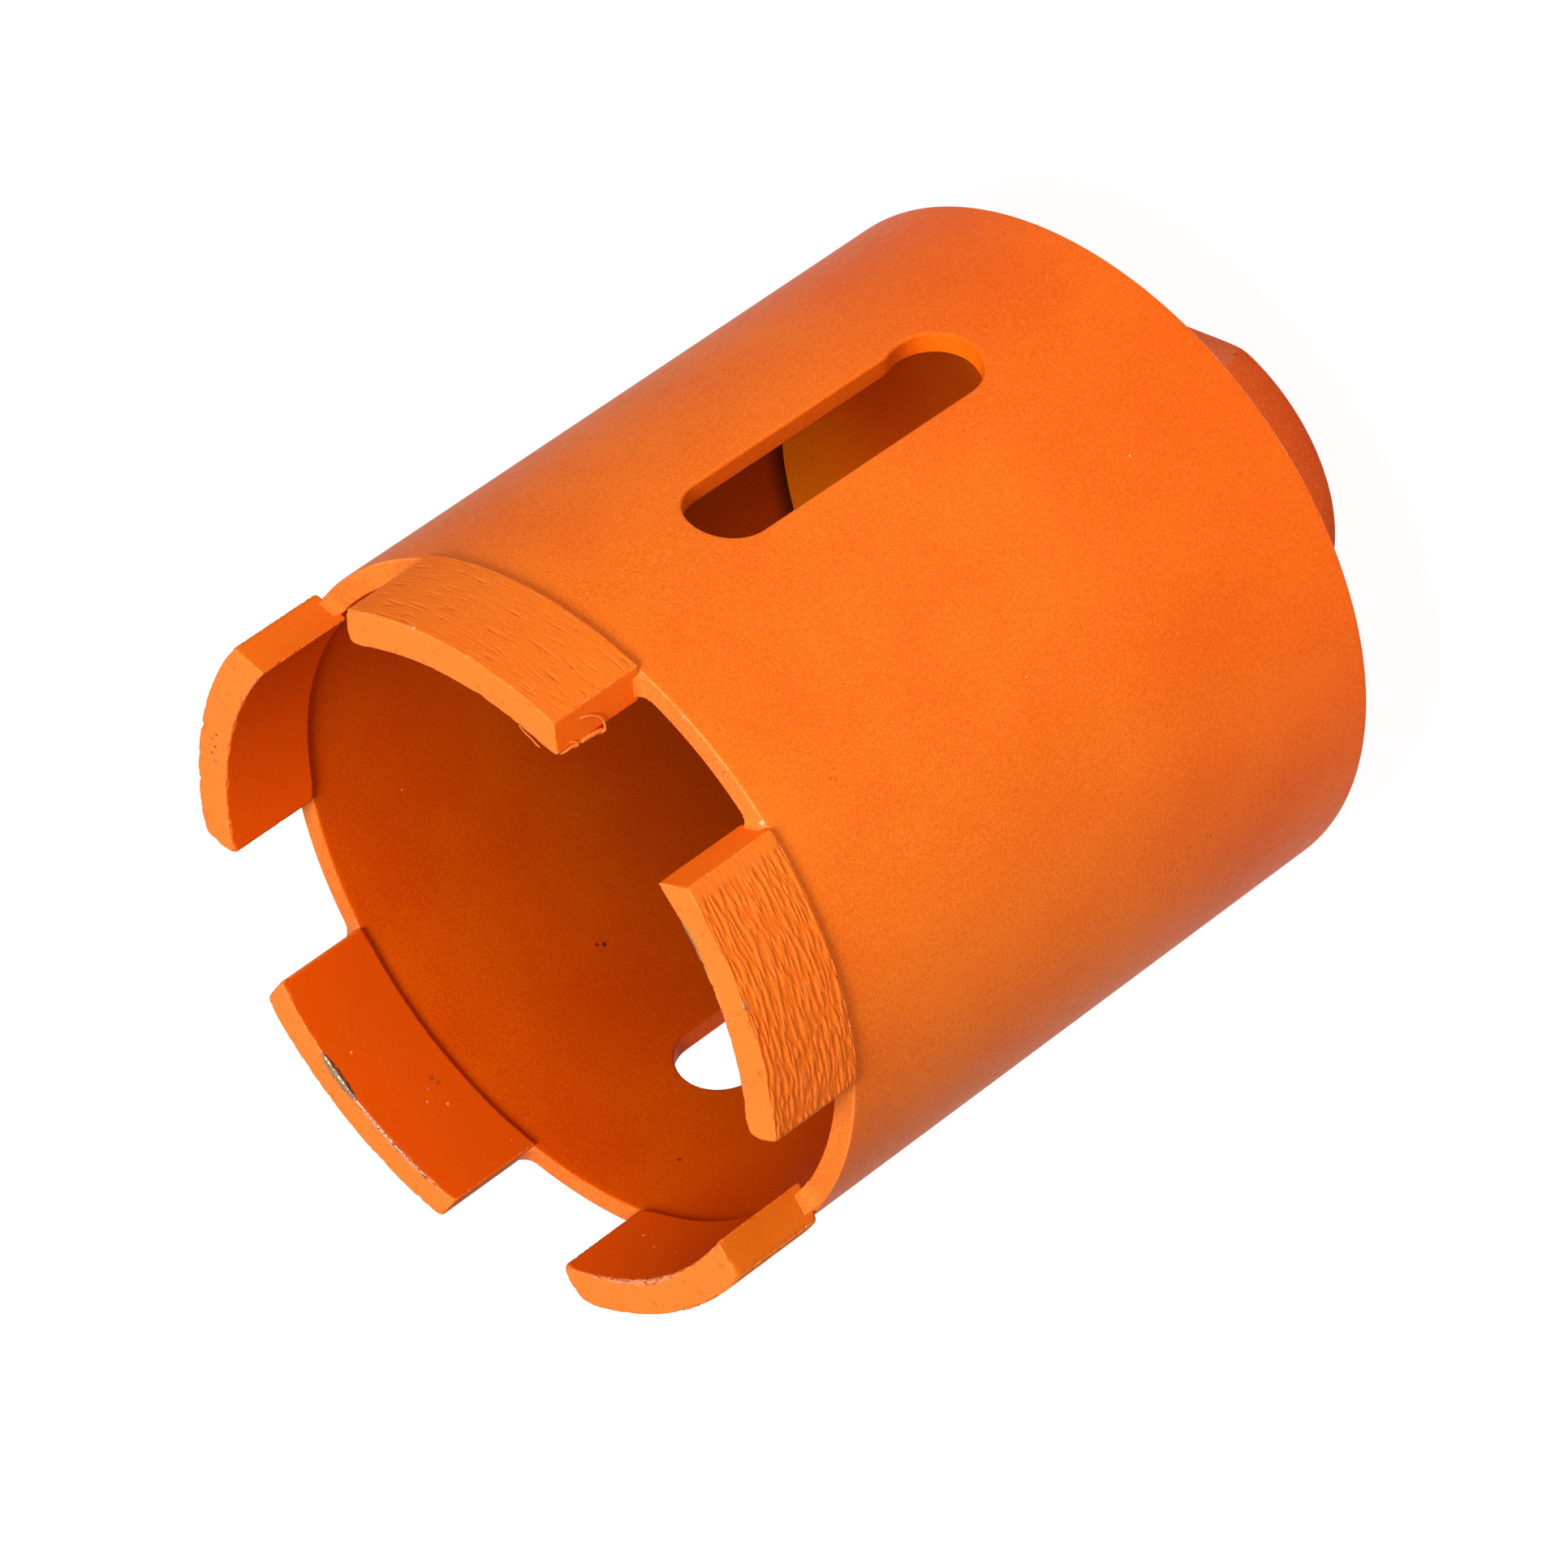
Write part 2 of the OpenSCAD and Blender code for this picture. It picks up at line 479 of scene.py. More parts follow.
def grow(name, tree, values, start=None):
    """Runs a geometry tree on a mesh and returns the plain mesh that it makes."""
    carrier = bpy.data.objects.new(name, start or bpy.data.meshes.new(name))
    bpy.context.scene.collection.objects.link(carrier)
    modifier = carrier.modifiers.new("Shape", "NODES")
    modifier.node_group = tree
    for item in tree.interface.items_tree:
        if item.item_type == "SOCKET" and item.in_out == "INPUT" and item.name in values:
            modifier[item.identifier] = values[item.name]
    graph = bpy.context.evaluated_depsgraph_get()
    made = bpy.data.meshes.new_from_object(carrier.evaluated_get(graph), depsgraph=graph,
                                           preserve_all_data_layers=True)
    carrier.modifiers.remove(modifier)
    bpy.data.objects.remove(carrier)
    made.name = name
    return made


# Materials

# Small marks in the paint, in millimetres. On the tube, the hub and the braze: radius,
# direction in degrees, height, size and colour. On the segments: the segment's number, place
# out from the axis, along the segment and in height, size and colour.
TUBE_MARKS = (
    (33.5, 227.2, 73.3, 0.24, "E05C16"), (33.5, 226.7, 72.9, 0.18, "DC5412"),
    (33.5, 237.3, 54.9, 0.12, "C8520E"), (33.5, 180.8, 36.5, 0.14, "B84A10"),
    (33.5, 227.9, 60.5, 0.1, "C8520E"), (33.5, 240.2, 29.9, 0.13, "FFC090"),
    (33.5, 222.8, 51.3, 0.1, "FFB880"), (32.9, 236.6, 81.1, 0.12, "8A3408"),
    (33.3, 246.3, 81.1, 0.13, "FFB880"), (33.4, 227.7, 81.2, 0.3, "FFC488"),
    (31.3, 62.6, 61.2, 0.3, "5A2404"), (31.3, 61.9, 61.8, 0.2, "5A2404"),
    (31.3, 103.0, 73.9, 0.25, "8A2E04"), (31.3, 21.9, 71.7, 0.14, "F09050"),
)
HUB_MARKS = ((16.1, 255.4, 1.2, 0.3, "C4481C"),)
BRAZE_MARKS = ((33.4, 227.7, 81.2, 0.3, "FFC488"),)
SEGMENT_MARKS = (
    (1, 30.45, -3.9, 88.7, 0.16, "F0A878"), (1, 30.59, 2.6, 84.9, 0.18, "C87A50"),
    (1, 30.5, 3.5, 85.8, 0.12, "F0A878"), (1, 30.34, 4.7, 84.4, 0.15, "F0A878"),
    (1, 30.6, 2.0, 83.9, 0.35, "B8480C"), (1, 30.6, 2.7, 83.7, 0.3, "B8480C"),
    (1, 28.8, 10.7, 82.6, 0.09, "F0A878"), (2, 29.5, -8.5, 84.6, 0.14, "F8C098"),
    (2, 30.15, -5.8, 85.9, 0.18, "F0A878"), (2, 30.64, -1.9, 86.6, 0.12, "F0A878"),
    (3, 34.1, 1.5, 91.0, 0.3, "B08E80"), (3, 34.0, 1.1, 91.05, 0.2, "8A6A5A"),
    (4, 33.9, 3.9, 91.0, 0.2, "FFD0A0"), (5, 30.0, -6.5, 91.1, 0.26, "A07050"),
    (5, 32.3, -0.5, 91.1, 0.17, "7A300C"), (5, 32.7, 0.3, 91.1, 0.14, "7A300C"),
    (5, 32.2, 1.0, 91.1, 0.18, "7A300C"), (5, 32.9, 1.3, 91.1, 0.12, "8A3810"),
    (5, 32.5, 2.0, 91.1, 0.16, "7A300C"), (5, 31.9, 2.6, 91.1, 0.24, "9A7A68"),
)

# Colours of small marks, of worn places and of metal, and of painted light and shade
LIGHT_SPECK = tint("FFC08A")
DARK_SPECK = tint("7A2A08")
# Painted light on the slots' walls round their rear holes, which face up towards the lamp
LIT_HOLE_END = tint("FF770E")
# A lighter copy of the inner faces' painted shade, for the segments towards one direction
LIGHTER_INNER_PAINT = tint("F85C03")
PIT = tint("6A2A08")
SCUFF = tint("F7956C")
CRACK = tint("7A2E10")
# Painted shadow along the thick edge of the paint round a chip
CHIP_SHADOW = tint("7A3A1A")
DARK_METAL = tint("846E58")
LIGHT_METAL = tint("A48C72")
METAL_GLINT = tint("EBCFB4")
SHADED_METAL = tint("4A2A14")
OILY_STEEL = tint("5A4A40")
SPRAY_MIST = tint("E0601A")
# Painted shade in the corner between the bore and the back plate
CORNER_SHADE = (0.02, 0.004, 0.001, 1.0)
# How much more of red, green and blue the clouds in the bore's coat show
BORE_CLOUD = (1.03, 1.18, 1.0, 1.0)

# Directions round the axis, in degrees, towards which the paint changes: the painted light and
# shade on the back plate and on the segments' ends, and the lighter inner faces
PLATE_SHADING_TURN = 230
END_LIGHT_TURN = 255
INNER_LIGHTER_TURN = 350


@built_once("node_groups", "Sprayed grain")
def sprayed_grain(name):
    """Orange peel and cloudiness of sprayed paint: a height, a tone and a roughness."""
    n, inputs = new_tree("ShaderNodeTree", name, {
        "Vector": ("vector", None), "Grain": ("length", 0.2 * MM), "Peel": ("length", 0.7 * MM),
        "Cloud": ("length", 14 * MM), "Gloss": ("float", 0.4), "Matt": ("float", 0.55)},
        {title: ("float", None) for title in ("Height", "Tone", "Roughness")})
    grain = n.noise(inputs["Vector"], 1 / inputs["Grain"], detail=1.0, seed=1.0)
    peel = n.noise(inputs["Vector"], 1 / inputs["Peel"], detail=2.0, seed=2.0)
    cloud = n.noise(inputs["Vector"], 1 / inputs["Cloud"], detail=3.0, seed=3.0)
    n.put_out("Height", grain * 0.25 + peel)
    n.put_out("Tone", n.fade(grain * 0.65 + cloud * 0.35, 0.36, 0.64))
    n.put_out("Roughness", n.fade(peel, 0.3, 0.7, inputs["Gloss"], inputs["Matt"]))
    return n.tree


@built_once("node_groups", "Scattered specks")
def scattered_specks(name):
    """Small round specks, far apart, of uneven size."""
    n, inputs = new_tree("ShaderNodeTree", name, {
        "Vector": ("vector", None), "Spacing": ("length", 5 * MM), "Size": ("length", 0.1 * MM),
        "Share": ("float", 0.4), "Seed": ("float", 0.0)}, {"Mask": ("float", None)})
    cell = n.add("ShaderNodeTexVoronoi", {"Vector": inputs["Vector"], "W": inputs["Seed"],
                                          "Scale": 1 / inputs["Spacing"]},
                 voronoi_dimensions="4D")
    chance, size, _ = n.split(cell["Color"])
    wobble = n.noise(inputs["Vector"], 0.6 / inputs["Size"], detail=1.0, seed=5.0)
    inside = cell["Distance"] * inputs["Spacing"] < inputs["Size"] * (size + wobble)
    n.put_out("Mask", inside * (chance < inputs["Share"]))
    return n.tree


@built_once("node_groups", "Ragged patches")
def ragged_patches(name):
    """Breaks a soft mask up into ragged patches."""
    n, inputs = new_tree("ShaderNodeTree", name, {
        "Vector": ("vector", None), "Mask": ("float", 0.0), "Patch": ("length", 0.3 * MM),
        "Cover": ("float", 0.5)}, {"Mask": ("float", None)})
    patch = n.noise(inputs["Vector"], 1 / inputs["Patch"], detail=3.0, seed=8.0, roughness=0.6)
    n.put_out("Mask", n.fade(inputs["Mask"] * (inputs["Cover"] + 0.5) - patch, -0.02, 0.05))
    return n.tree


def group(n, tree, **inputs):
    """Places a shader node group and returns its wires."""
    return n.add("ShaderNodeGroup", {name.title(): value for name, value in inputs.items()},
                 node_tree=tree)


def new_material(name):
    """A material with an empty node tree. Returns it, its helper and the place on the piece."""
    material = bpy.data.materials.new(name)
    material.use_nodes = True
    material.node_tree.nodes.clear()
    n = Nodes(material.node_tree, "ShaderNodeOutputMaterial")
    return material, n, n.add("ShaderNodeTexCoord")["Object"]


def add_marks(n, place, paint, marks):
    """Adds small ragged marks, each a point with a size in millimetres and a colour code."""
    wobble = n.fade(n.noise(place, 7000.0, seed=1.0), 0.3, 0.7, 0.6, 1.7)
    for centre, size, code in marks:
        away = n.vector("DISTANCE", place, centre) * wobble
        paint = n.mix(n.fade(away, 0.6 * size * MM, size * MM, 1.0, 0.0), paint, tint(code))
    return paint


def painted(name, base, gloss=0.38, matt=0.52, peel=0.45, bump=0.14, light_specks=0.05,
            dark_specks=0.06, shade=0.22, specular=0.04, marks=(), dress=None):
    """Sprayed paint with a fine grain, orange peel and specks. The dress function may change
    the look from place to place: paint, roughness, metallic share and height."""
    material, n, place = new_material(name)
    grain = group(n, sprayed_grain(), vector=place, gloss=gloss, matt=matt, peel=peel * MM)
    look = {"paint": base, "roughness": grain["Roughness"], "metallic": 0.0,
            "height": grain["Height"]}
    if dress:
        dress(n, place, look)
    shaded = (1 - 0.6 * shade, 1 - 1.5 * shade, 1 - 2 * shade, 1.0)
    deep = n.mix(1.0, look["paint"], shaded, "MULTIPLY")
    paint = n.mix(grain["Tone"], deep, look["paint"])
    light = group(n, scattered_specks(), vector=place, share=light_specks, spacing=3.1 * MM,
                  size=0.08 * MM)
    dark = group(n, scattered_specks(), vector=place, share=dark_specks, spacing=3.7 * MM,
                 size=0.09 * MM, seed=4.0)
    paint = n.mix(light["Mask"] * 0.5, paint, LIGHT_SPECK)
    paint = n.mix(dark["Mask"] * 0.6, paint, DARK_SPECK)
    paint = add_marks(n, place, paint, marks)
    n.put_out("Surface", n.first("ShaderNodeBsdfPrincipled", {
        "Base Color": paint, "Roughness": look["roughness"], "Metallic": look["metallic"],
        "Specular IOR Level": specular, "Normal": n.bump(bump, 0.05 * MM, look["height"])}))
    return material


def facing(n, place, degrees):
    """How far a place lies from the axis towards a direction."""
    return n.vector("DOT_PRODUCT", place, polar(1.0, math.radians(degrees), 0.0))


def dress_tube(n, place, look):
    """Painted shade: darker and redder towards the rear, where the light falls off, darker in the
    slots, in the bore, where the coat is thinner too, and in the corner at the plate. Painted
    light: paler on the rim and round the slots' rear holes, and a thin pale highlight along the
    two outer edges."""
    finish = bpy.context.scene.bit_finish
    sizes = bpy.context.scene.bit_tube
    bore = sizes.radius - sizes.wall
    rear, rim = TUBE_LOW.z, TUBE_HIGH.z
    x, y, z = n.split(place)
    radius = n.length(x, y)
    to_end = n.least(z - rear, rim - z)
    in_slot = n.fade(radius, sizes.radius - 0.4 * MM, sizes.radius - 0.1 * MM, 1.0, 0.0)
    in_slot = in_slot * n.fade(to_end, 0.1 * MM, 0.3 * MM)
    # Painted shade: darker and redder towards the rear, where the light falls off
    paint = n.mix(n.fade(z, rear, rear + 40 * MM, 0.6, 0.0), look["paint"], finish.rear)
    # Painted shade on the slots' walls
    paint = n.mix(in_slot * 0.65, paint, finish.recess_shade)
    # Painted light on the slot walls round the rear hole
    at_hole = n.fade(z, sizes.slot_rear, sizes.slot_rear - 3 * MM)
    paint = n.mix(in_slot * at_hole, paint, LIT_HOLE_END)

    # In the bore: a thinner coat and painted shade, darker farther from the open end and a little
    # lighter just above the plate
    in_bore = n.fade(radius, bore + 0.02 * MM, bore + 0.2 * MM, 1.0, 0.0)
    coat = n.mix(n.fade(z, 30 * MM, 88 * MM), finish.bore, finish.recess_shade)
    coat = n.mix(n.fade(z, 26 * MM, 42 * MM, 0.2, 0.0), coat, finish.recess_shade)
    cloud = n.fade(n.noise(place, 75.0, detail=3.0, seed=9.0), 0.42, 0.62)
    coat = n.mix(cloud, coat, BORE_CLOUD, "MULTIPLY")
    # Painted shade in the corner at the plate
    at_plate = n.fade(z, PLATE_HIGH.z, PLATE_HIGH.z + 2.4 * MM, 0.75, 0.0)
    coat = n.mix(at_plate, coat, CORNER_SHADE)
    paint = n.mix(in_bore, paint, coat)

    # Painted light on the rim's end face
    on_rim = n.fade(z, rim - 0.25 * MM, rim - 0.1 * MM) * (1.0 - in_bore)
    paint = n.mix(on_rim, paint, finish.rim)
    # Painted highlight: a thin, broken pale line along the two outer edges
    to_corner = n.length(sizes.radius - radius, to_end)
    wider = n.fade(z, rear + 1 * MM, rear + 2 * MM, 0.07 * MM, 0.0)
    line = n.fade(to_corner - wider, 0.125 * MM, 0.155 * MM, 1.0, 0.0)
    broken_highlight = n.fade(n.noise(place, 600.0, detail=3.0, seed=5.0), 0.32, 0.62, 0.1, 0.85)
    look["paint"] = n.mix(line * broken_highlight, paint, finish.pale)


def dress_plate(n, place, look):
    """Painted light: the hub's brighter, redder paint where the tube's wall shades the plate.
    Painted
    shade: the bore's colour, farther towards one side.
    """
    finish = bpy.context.scene.bit_finish
    across = facing(n, place, PLATE_SHADING_TURN)
    # Painted light where the tube's wall shades the plate
    paint = n.mix(n.fade(across, -24 * MM, -6 * MM), look["paint"], finish.hub)
    # Painted shade in the bore's colour, farther towards one side
    look["paint"] = n.mix(n.fade(across, 0.0, 8 * MM, 0.0, 0.4), paint, finish.bore)


class SegmentMasks:
    """What a segment's mesh carries for its paint: the place on the straight block, the faces
    that a place belongs to, and the streaks, the scuffs and the bare metal."""

    def __init__(self, n):
        self.block = n.add("ShaderNodeAttribute", attribute_name="block_place")["Vector"]
        face = n.add("ShaderNodeAttribute", attribute_name="block_normal")["Vector"]
        self.groove, self.worn, self.rubbed = (
            n.add("ShaderNodeAttribute", attribute_name=title)["Fac"]
            for title in ("groove", "bare", "scuff"))
        self.out, along, up = n.split(face)
        self.outer = n.fade(self.out, 0.7, 0.95)
        self.inner = n.fade(-self.out, 0.7, 0.95)
        self.ends = n.fade(abs(along), 0.7, 0.95)
        self.cutting = n.fade(up, 0.6, 0.9)
        self.rounded_edge = n.fade(n.most(abs(self.out), abs(along), abs(up)), 0.75, 0.95,
                                   1.0, 0.0)


def coat_and_light_each_face(n, place, masks, look):
    """A coat of its own on each face of a segment, with painted light on the cutting face, painted
    light on the ends of some segments and painted shade on those of the others, painted shade on
    the inner face and painted highlights on its edges.
    """
    finish = bpy.context.scene.bit_finish
    # Painted light on the cutting face
    paint = n.mix(masks.cutting, look["paint"], finish.rim)
    # Painted light and shade on the ends, by the direction in which each segment lies
    sprayed = n.fade(facing(n, place, END_LIGHT_TURN), -4 * MM, 22 * MM)
    paint = n.mix(masks.ends * 0.6, paint, n.mix(sprayed, finish.shaded_end, finish.end))
    # Painted shade on the inner faces, lighter on the segments towards one direction
    thick = n.fade(facing(n, place, INNER_LIGHTER_TURN), 16 * MM, 28 * MM)
    paint = n.mix(masks.inner, paint, n.mix(thick, finish.inner, LIGHTER_INNER_PAINT))
    # Painted highlight on the rounded edges, weaker on the inner side
    broken_highlight = n.fade(n.noise(place, 1500.0, seed=7.0), 0.4, 0.6, 0.0, 0.35)
    broken_highlight = broken_highlight * n.fade(masks.out, -0.6, 0.0, 0.2, 1.0)
    look["paint"] = n.mix(masks.rounded_edge * broken_highlight, paint, finish.pale)


def streak_outer_face(n, masks, look):
    """Streaks along the outer face, with painted shade in their grooves and painted highlights on
    the lips beside the deeper ones.
    """
    finish = bpy.context.scene.bit_finish
    groove, outer = masks.groove, masks.outer
    streaks = n.noise(masks.block * (0.0, 420.0, 7000.0), 1.0, detail=3.0, seed=1.0,
                      roughness=0.6)
    dug = n.fade(groove * 0.3 + (0.85 - streaks), 0.3, 0.7)
    lip_highlight = n.fade(groove, 0.04, 0.25) * n.fade(groove, 0.8, 0.4)
    # Painted shade in the grooves and painted highlights on their lips
    paint = n.mix(dug * outer * 0.08, look["paint"], finish.recess_shade)
    paint = n.mix(lip_highlight * outer * 0.1, paint, finish.pale)
    look["paint"] = n.mix(groove * outer * 0.2, paint, finish.recess_shade)
    look["height"] = streaks * outer * 4.0 + look["height"]


def pit_cutting_face(n, place, masks, look):
    """Fields of pits on the cutting face, weaker on the outer one, and dull places."""
    field = n.fade(n.noise(place, 330.0, detail=1.0, seed=3.0), 0.5, 0.62)
    pit = n.fade(n.noise(place, 5200.0, detail=1.0, seed=2.0), 0.66, 0.72)
    pit = pit * field * n.most(masks.cutting, masks.outer * 0.7)
    paint = n.mix(pit * 0.7, look["paint"], PIT)
    look["height"] = pit * -2.0 + look["height"]
    dull = n.fade(n.noise(place, 800.0, seed=11.0), 0.6, 0.72)
    look["paint"] = n.mix(dull * masks.cutting * 0.5, paint, bpy.context.scene.bit_finish.recess_shade)


def scuff_inner_edge(n, place, masks, look):
    """Scuffed patches along the inner cutting edge, with cracks in them."""
    rubbed = masks.rubbed
    scuffed = group(n, ragged_patches(), vector=place, mask=rubbed, patch=0.45 * MM, cover=0.72)
    scuffed = scuffed["Mask"] * n.fade(masks.out, -0.75, -0.2, 0.15, 0.7)
    paint = n.mix(scuffed, look["paint"], SCUFF)
    lines = n.noise(masks.block * (1800.0, 330.0, 1800.0), 1.0, seed=4.0)
    crack = n.fade(abs(lines - 0.5), 0.008, 0.035, 1.0, 0.0) * n.fade(rubbed, 0.3, 0.5)
    dashes = n.fade(n.noise(place, 900.0, seed=12.0), 0.48, 0.54)
    crack = n.most(crack, n.fade(rubbed, 0.84, 0.92) * dashes)
    look["paint"] = n.mix(crack * 0.85, paint, CRACK)


def bare_inner_edge(n, place, masks, look):
    """Bare metal along the inner cutting edge, with a painted shadow round it where the paint
    stands thick, a painted glint on its edge and painted shade on it on the inner face.
    """
    cover = n.fade(masks.out, -0.8, -0.3, 1.25, 0.78)
    chip_shadow_mask, bare = (group(n, ragged_patches(), vector=place, mask=masks.worn, patch=0.35 * MM,
                        cover=share)["Mask"] for share in (cover, 0.66))
    # Painted shadow round the bare metal, stronger on the inner side
    paint = n.mix(chip_shadow_mask * 0.8, look["paint"], CHIP_SHADOW)
    mottle = n.noise(place, 5000.0, seed=6.0)
    metal = n.mix(n.fade(mottle, 0.35, 0.65), DARK_METAL, LIGHT_METAL)
    # Painted glint on the metal's edge, and painted shade on it on the inner face
    metal = n.mix(masks.rounded_edge * n.fade(mottle, 0.49, 0.56), metal, METAL_GLINT)
    metal = n.mix(masks.inner * 0.9, metal, SHADED_METAL)
    look["paint"] = n.mix(bare, paint, metal)
    look["metallic"] = bare * 0.3
    look["roughness"] = n.fade(bare, 0.0, 1.0, look["roughness"], 0.4)
    look["height"] = bare * -1.5 + look["height"]


def dress_segment(n, place, look):
    """A coat on each face with its painted light and shade, and on top of it streaks, pits, scuffs
    and bare metal.
    """
    masks = SegmentMasks(n)
    coat_and_light_each_face(n, place, masks, look)
    streak_outer_face(n, masks, look)
    pit_cutting_face(n, place, masks, look)
    scuff_inner_edge(n, place, masks, look)
    bare_inner_edge(n, place, masks, look)


def dress_hub(n, place, look):
    """Paler, pinker paint, strong on the wrench flats and weak on the rest of the hub."""
    finish = bpy.context.scene.bit_finish
    sizes = bpy.context.scene.bit_hub
    across = abs(facing(n, place, WRENCH_TURN))
    on_flat = n.fade(across, sizes.flat - 0.12 * MM, sizes.flat - 0.04 * MM)
    on_flat = on_flat * n.fade(across, sizes.flat + 0.04 * MM, sizes.flat + 0.12 * MM, 1.0, 0.0)
    height = n.split(place)[2]
    step = HUB_LOW.z + sizes.flat_length
    below_step = n.fade(height, step - 0.3 * MM, step - 0.1 * MM, 1.0, 0.0)
    pinker_share = n.most(on_flat * below_step * 0.75, 0.25)
    look["paint"] = n.mix(pinker_share, look["paint"], finish.flat)


@built_once("materials", "Thread steel")
def thread_steel(name):
    """Cut steel of the thread, oily, with a little spray on it."""
    material, n, place = new_material(name)
    rings = n.noise(place * (300.0, 300.0, 9000.0), 1.0, seed=1.0)
    patches = n.noise(place, 260.0, detail=4.0, seed=2.0)
    steel = n.mix(n.fade(patches, 0.35, 0.7), bpy.context.scene.bit_finish.steel, OILY_STEEL)
    mist = group(n, ragged_patches(), vector=place, mask=1.0, cover=-0.02, patch=0.25 * MM)["Mask"]
    n.put_out("Surface", n.first("ShaderNodeBsdfPrincipled", {
        "Base Color": n.mix(mist, steel, SPRAY_MIST), "Metallic": 0.95 - mist * 0.95,
        "Roughness": n.fade(rings, 0.3, 0.7, 0.25, 0.42),
        "Normal": n.bump(0.3, 0.03 * MM, rings)}))
    return material


def on_axis(radius, degrees, z):
    """A point given in millimetres and degrees round the axis."""
    return polar(radius * MM, math.radians(degrees), z * MM)


def on_segment(number, out, along, z):
    """A point given beside a segment's middle: out from the axis, along it, and in height."""
    return turned(Vector((out, along, z)) * MM, segment_angle(number))


def spots(marks, locate):
    """Small marks with their places as points, which one of the functions above finds."""
    return [(locate(*place), size, code) for *place, size, code in marks]


@built_once("materials", "Tube paint")
def tube_paint(name):
    """Bright orange, with painted shade towards the rear, in the slots and in the bore, where the
    coat is thinner too, and painted light on the rim and its edges.
    """
    return painted(name, bpy.context.scene.bit_finish.paint, marks=spots(TUBE_MARKS, on_axis),
                   dress=dress_tube)


@built_once("materials", "Plate paint")
def plate_paint(name):
    """A matt coat, seen through the open end and the slots."""
    return painted(name, bpy.context.scene.bit_finish.plate, gloss=0.5, matt=0.65,
                   specular=0.02, dress=dress_plate)


@built_once("materials", "Hub paint")
def hub_paint(name):
    """Orange, paler and pinker on the wrench flats."""
    return painted(name, bpy.context.scene.bit_finish.hub, gloss=0.42, matt=0.58,
                   marks=spots(HUB_MARKS, on_axis), dress=dress_hub)


@built_once("materials", "Weld paint")
def weld_paint(name):
    """Glossier orange with many specks."""
    return painted(name, bpy.context.scene.bit_finish.hub, gloss=0.3, matt=0.45,
                   light_specks=0.2, dark_specks=0.3)


@built_once("materials", "Segment paint")
def segment_paint(name):
    """A rough coat, worn where the segments cut."""
    return painted(name, bpy.context.scene.bit_finish.paint, gloss=0.5, matt=0.68, peel=0.3,
                   bump=0.5, light_specks=0.12, dark_specks=0.12, shade=0.1,
                   marks=spots(SEGMENT_MARKS, on_segment), dress=dress_segment)


@built_once("materials", "Braze paint")
def braze_paint(name):
    """A glossy coat over the smooth braze, in the rim's paler paint, which is painted light."""
    return painted(name, bpy.context.scene.bit_finish.rim, gloss=0.3, matt=0.42,
                   marks=spots(BRAZE_MARKS, on_axis))


@built_once("materials", "Strand paint")
def strand_paint(name):
    """Pale, loose paint."""
    return painted(name, bpy.context.scene.bit_finish.strand, gloss=0.4, matt=0.6)


# Slotted tube


def circle_exit(point, heading, centre, radius):
    """How far a ray from inside a circle runs until it leaves the circle."""
    offset = point - centre
    along = offset.dot(heading)
    return math.sqrt(radius ** 2 - offset.length_squared + along ** 2) - along


def slot_point(sizes, slot, across, z, grow_by):
    """The point of a slot's outline that faces a given point outside it, as (across, z)."""
    half = sizes.slot_width / 2 + grow_by
    front = Vector((slot["front"] * MM, sizes.slot_front))
    rear = Vector((slot["rear"] * MM, sizes.slot_rear))
    hole = Vector((slot["hole"] * MM, sizes.slot_rear))
    hole_radius = sizes.hole_diameter / 2 + grow_by
    if z >= front.y:
        return front + (Vector((across, z)) - front).normalized() * half
    if z <= rear.y:
        heading = (Vector((across, z)) - rear).normalized()
        reach = max(half, circle_exit(rear, heading, hole, hole_radius))
        return rear + heading * reach
    middle = rear.lerp(front, (z - rear.y) / (front.y - rear.y)).x
    side = math.copysign(1, across - middle)
    edge = middle + side * half
    if z - rear.y < hole_radius:
        bulge = hole.x + side * math.sqrt(hole_radius ** 2 - (z - rear.y) ** 2)
        edge = side * max(side * edge, side * bulge)
    return Vector((edge, z))


def rounding_steps(edge, count=4):
    """How far a rounded edge lies back from the two faces it joins, as pairs, step by step."""
    return [(edge * (1 - math.sin(turn)), edge * (1 - math.cos(turn)))
            for turn in steps(0, math.pi / 2, count)]


# Round each slot the grid of the tube's faces is left open: this far to each side in degrees,
# and this far past its ends. Rings lead from the slot's outline to the grid, at these shares.
FIELD_HALF = 12.5
FIELD_MARGIN = 2.4 * MM
FIELD_RINGS = (0, 0.06, 0.25, 0.5, 0.75, 1)
# The point beside a rounded edge lies this many roundings from the corner, in a slot's wall and
# on the tube's two ends
BESIDE_IN_SLOT = 1.5
BESIDE_ON_END = 1.3


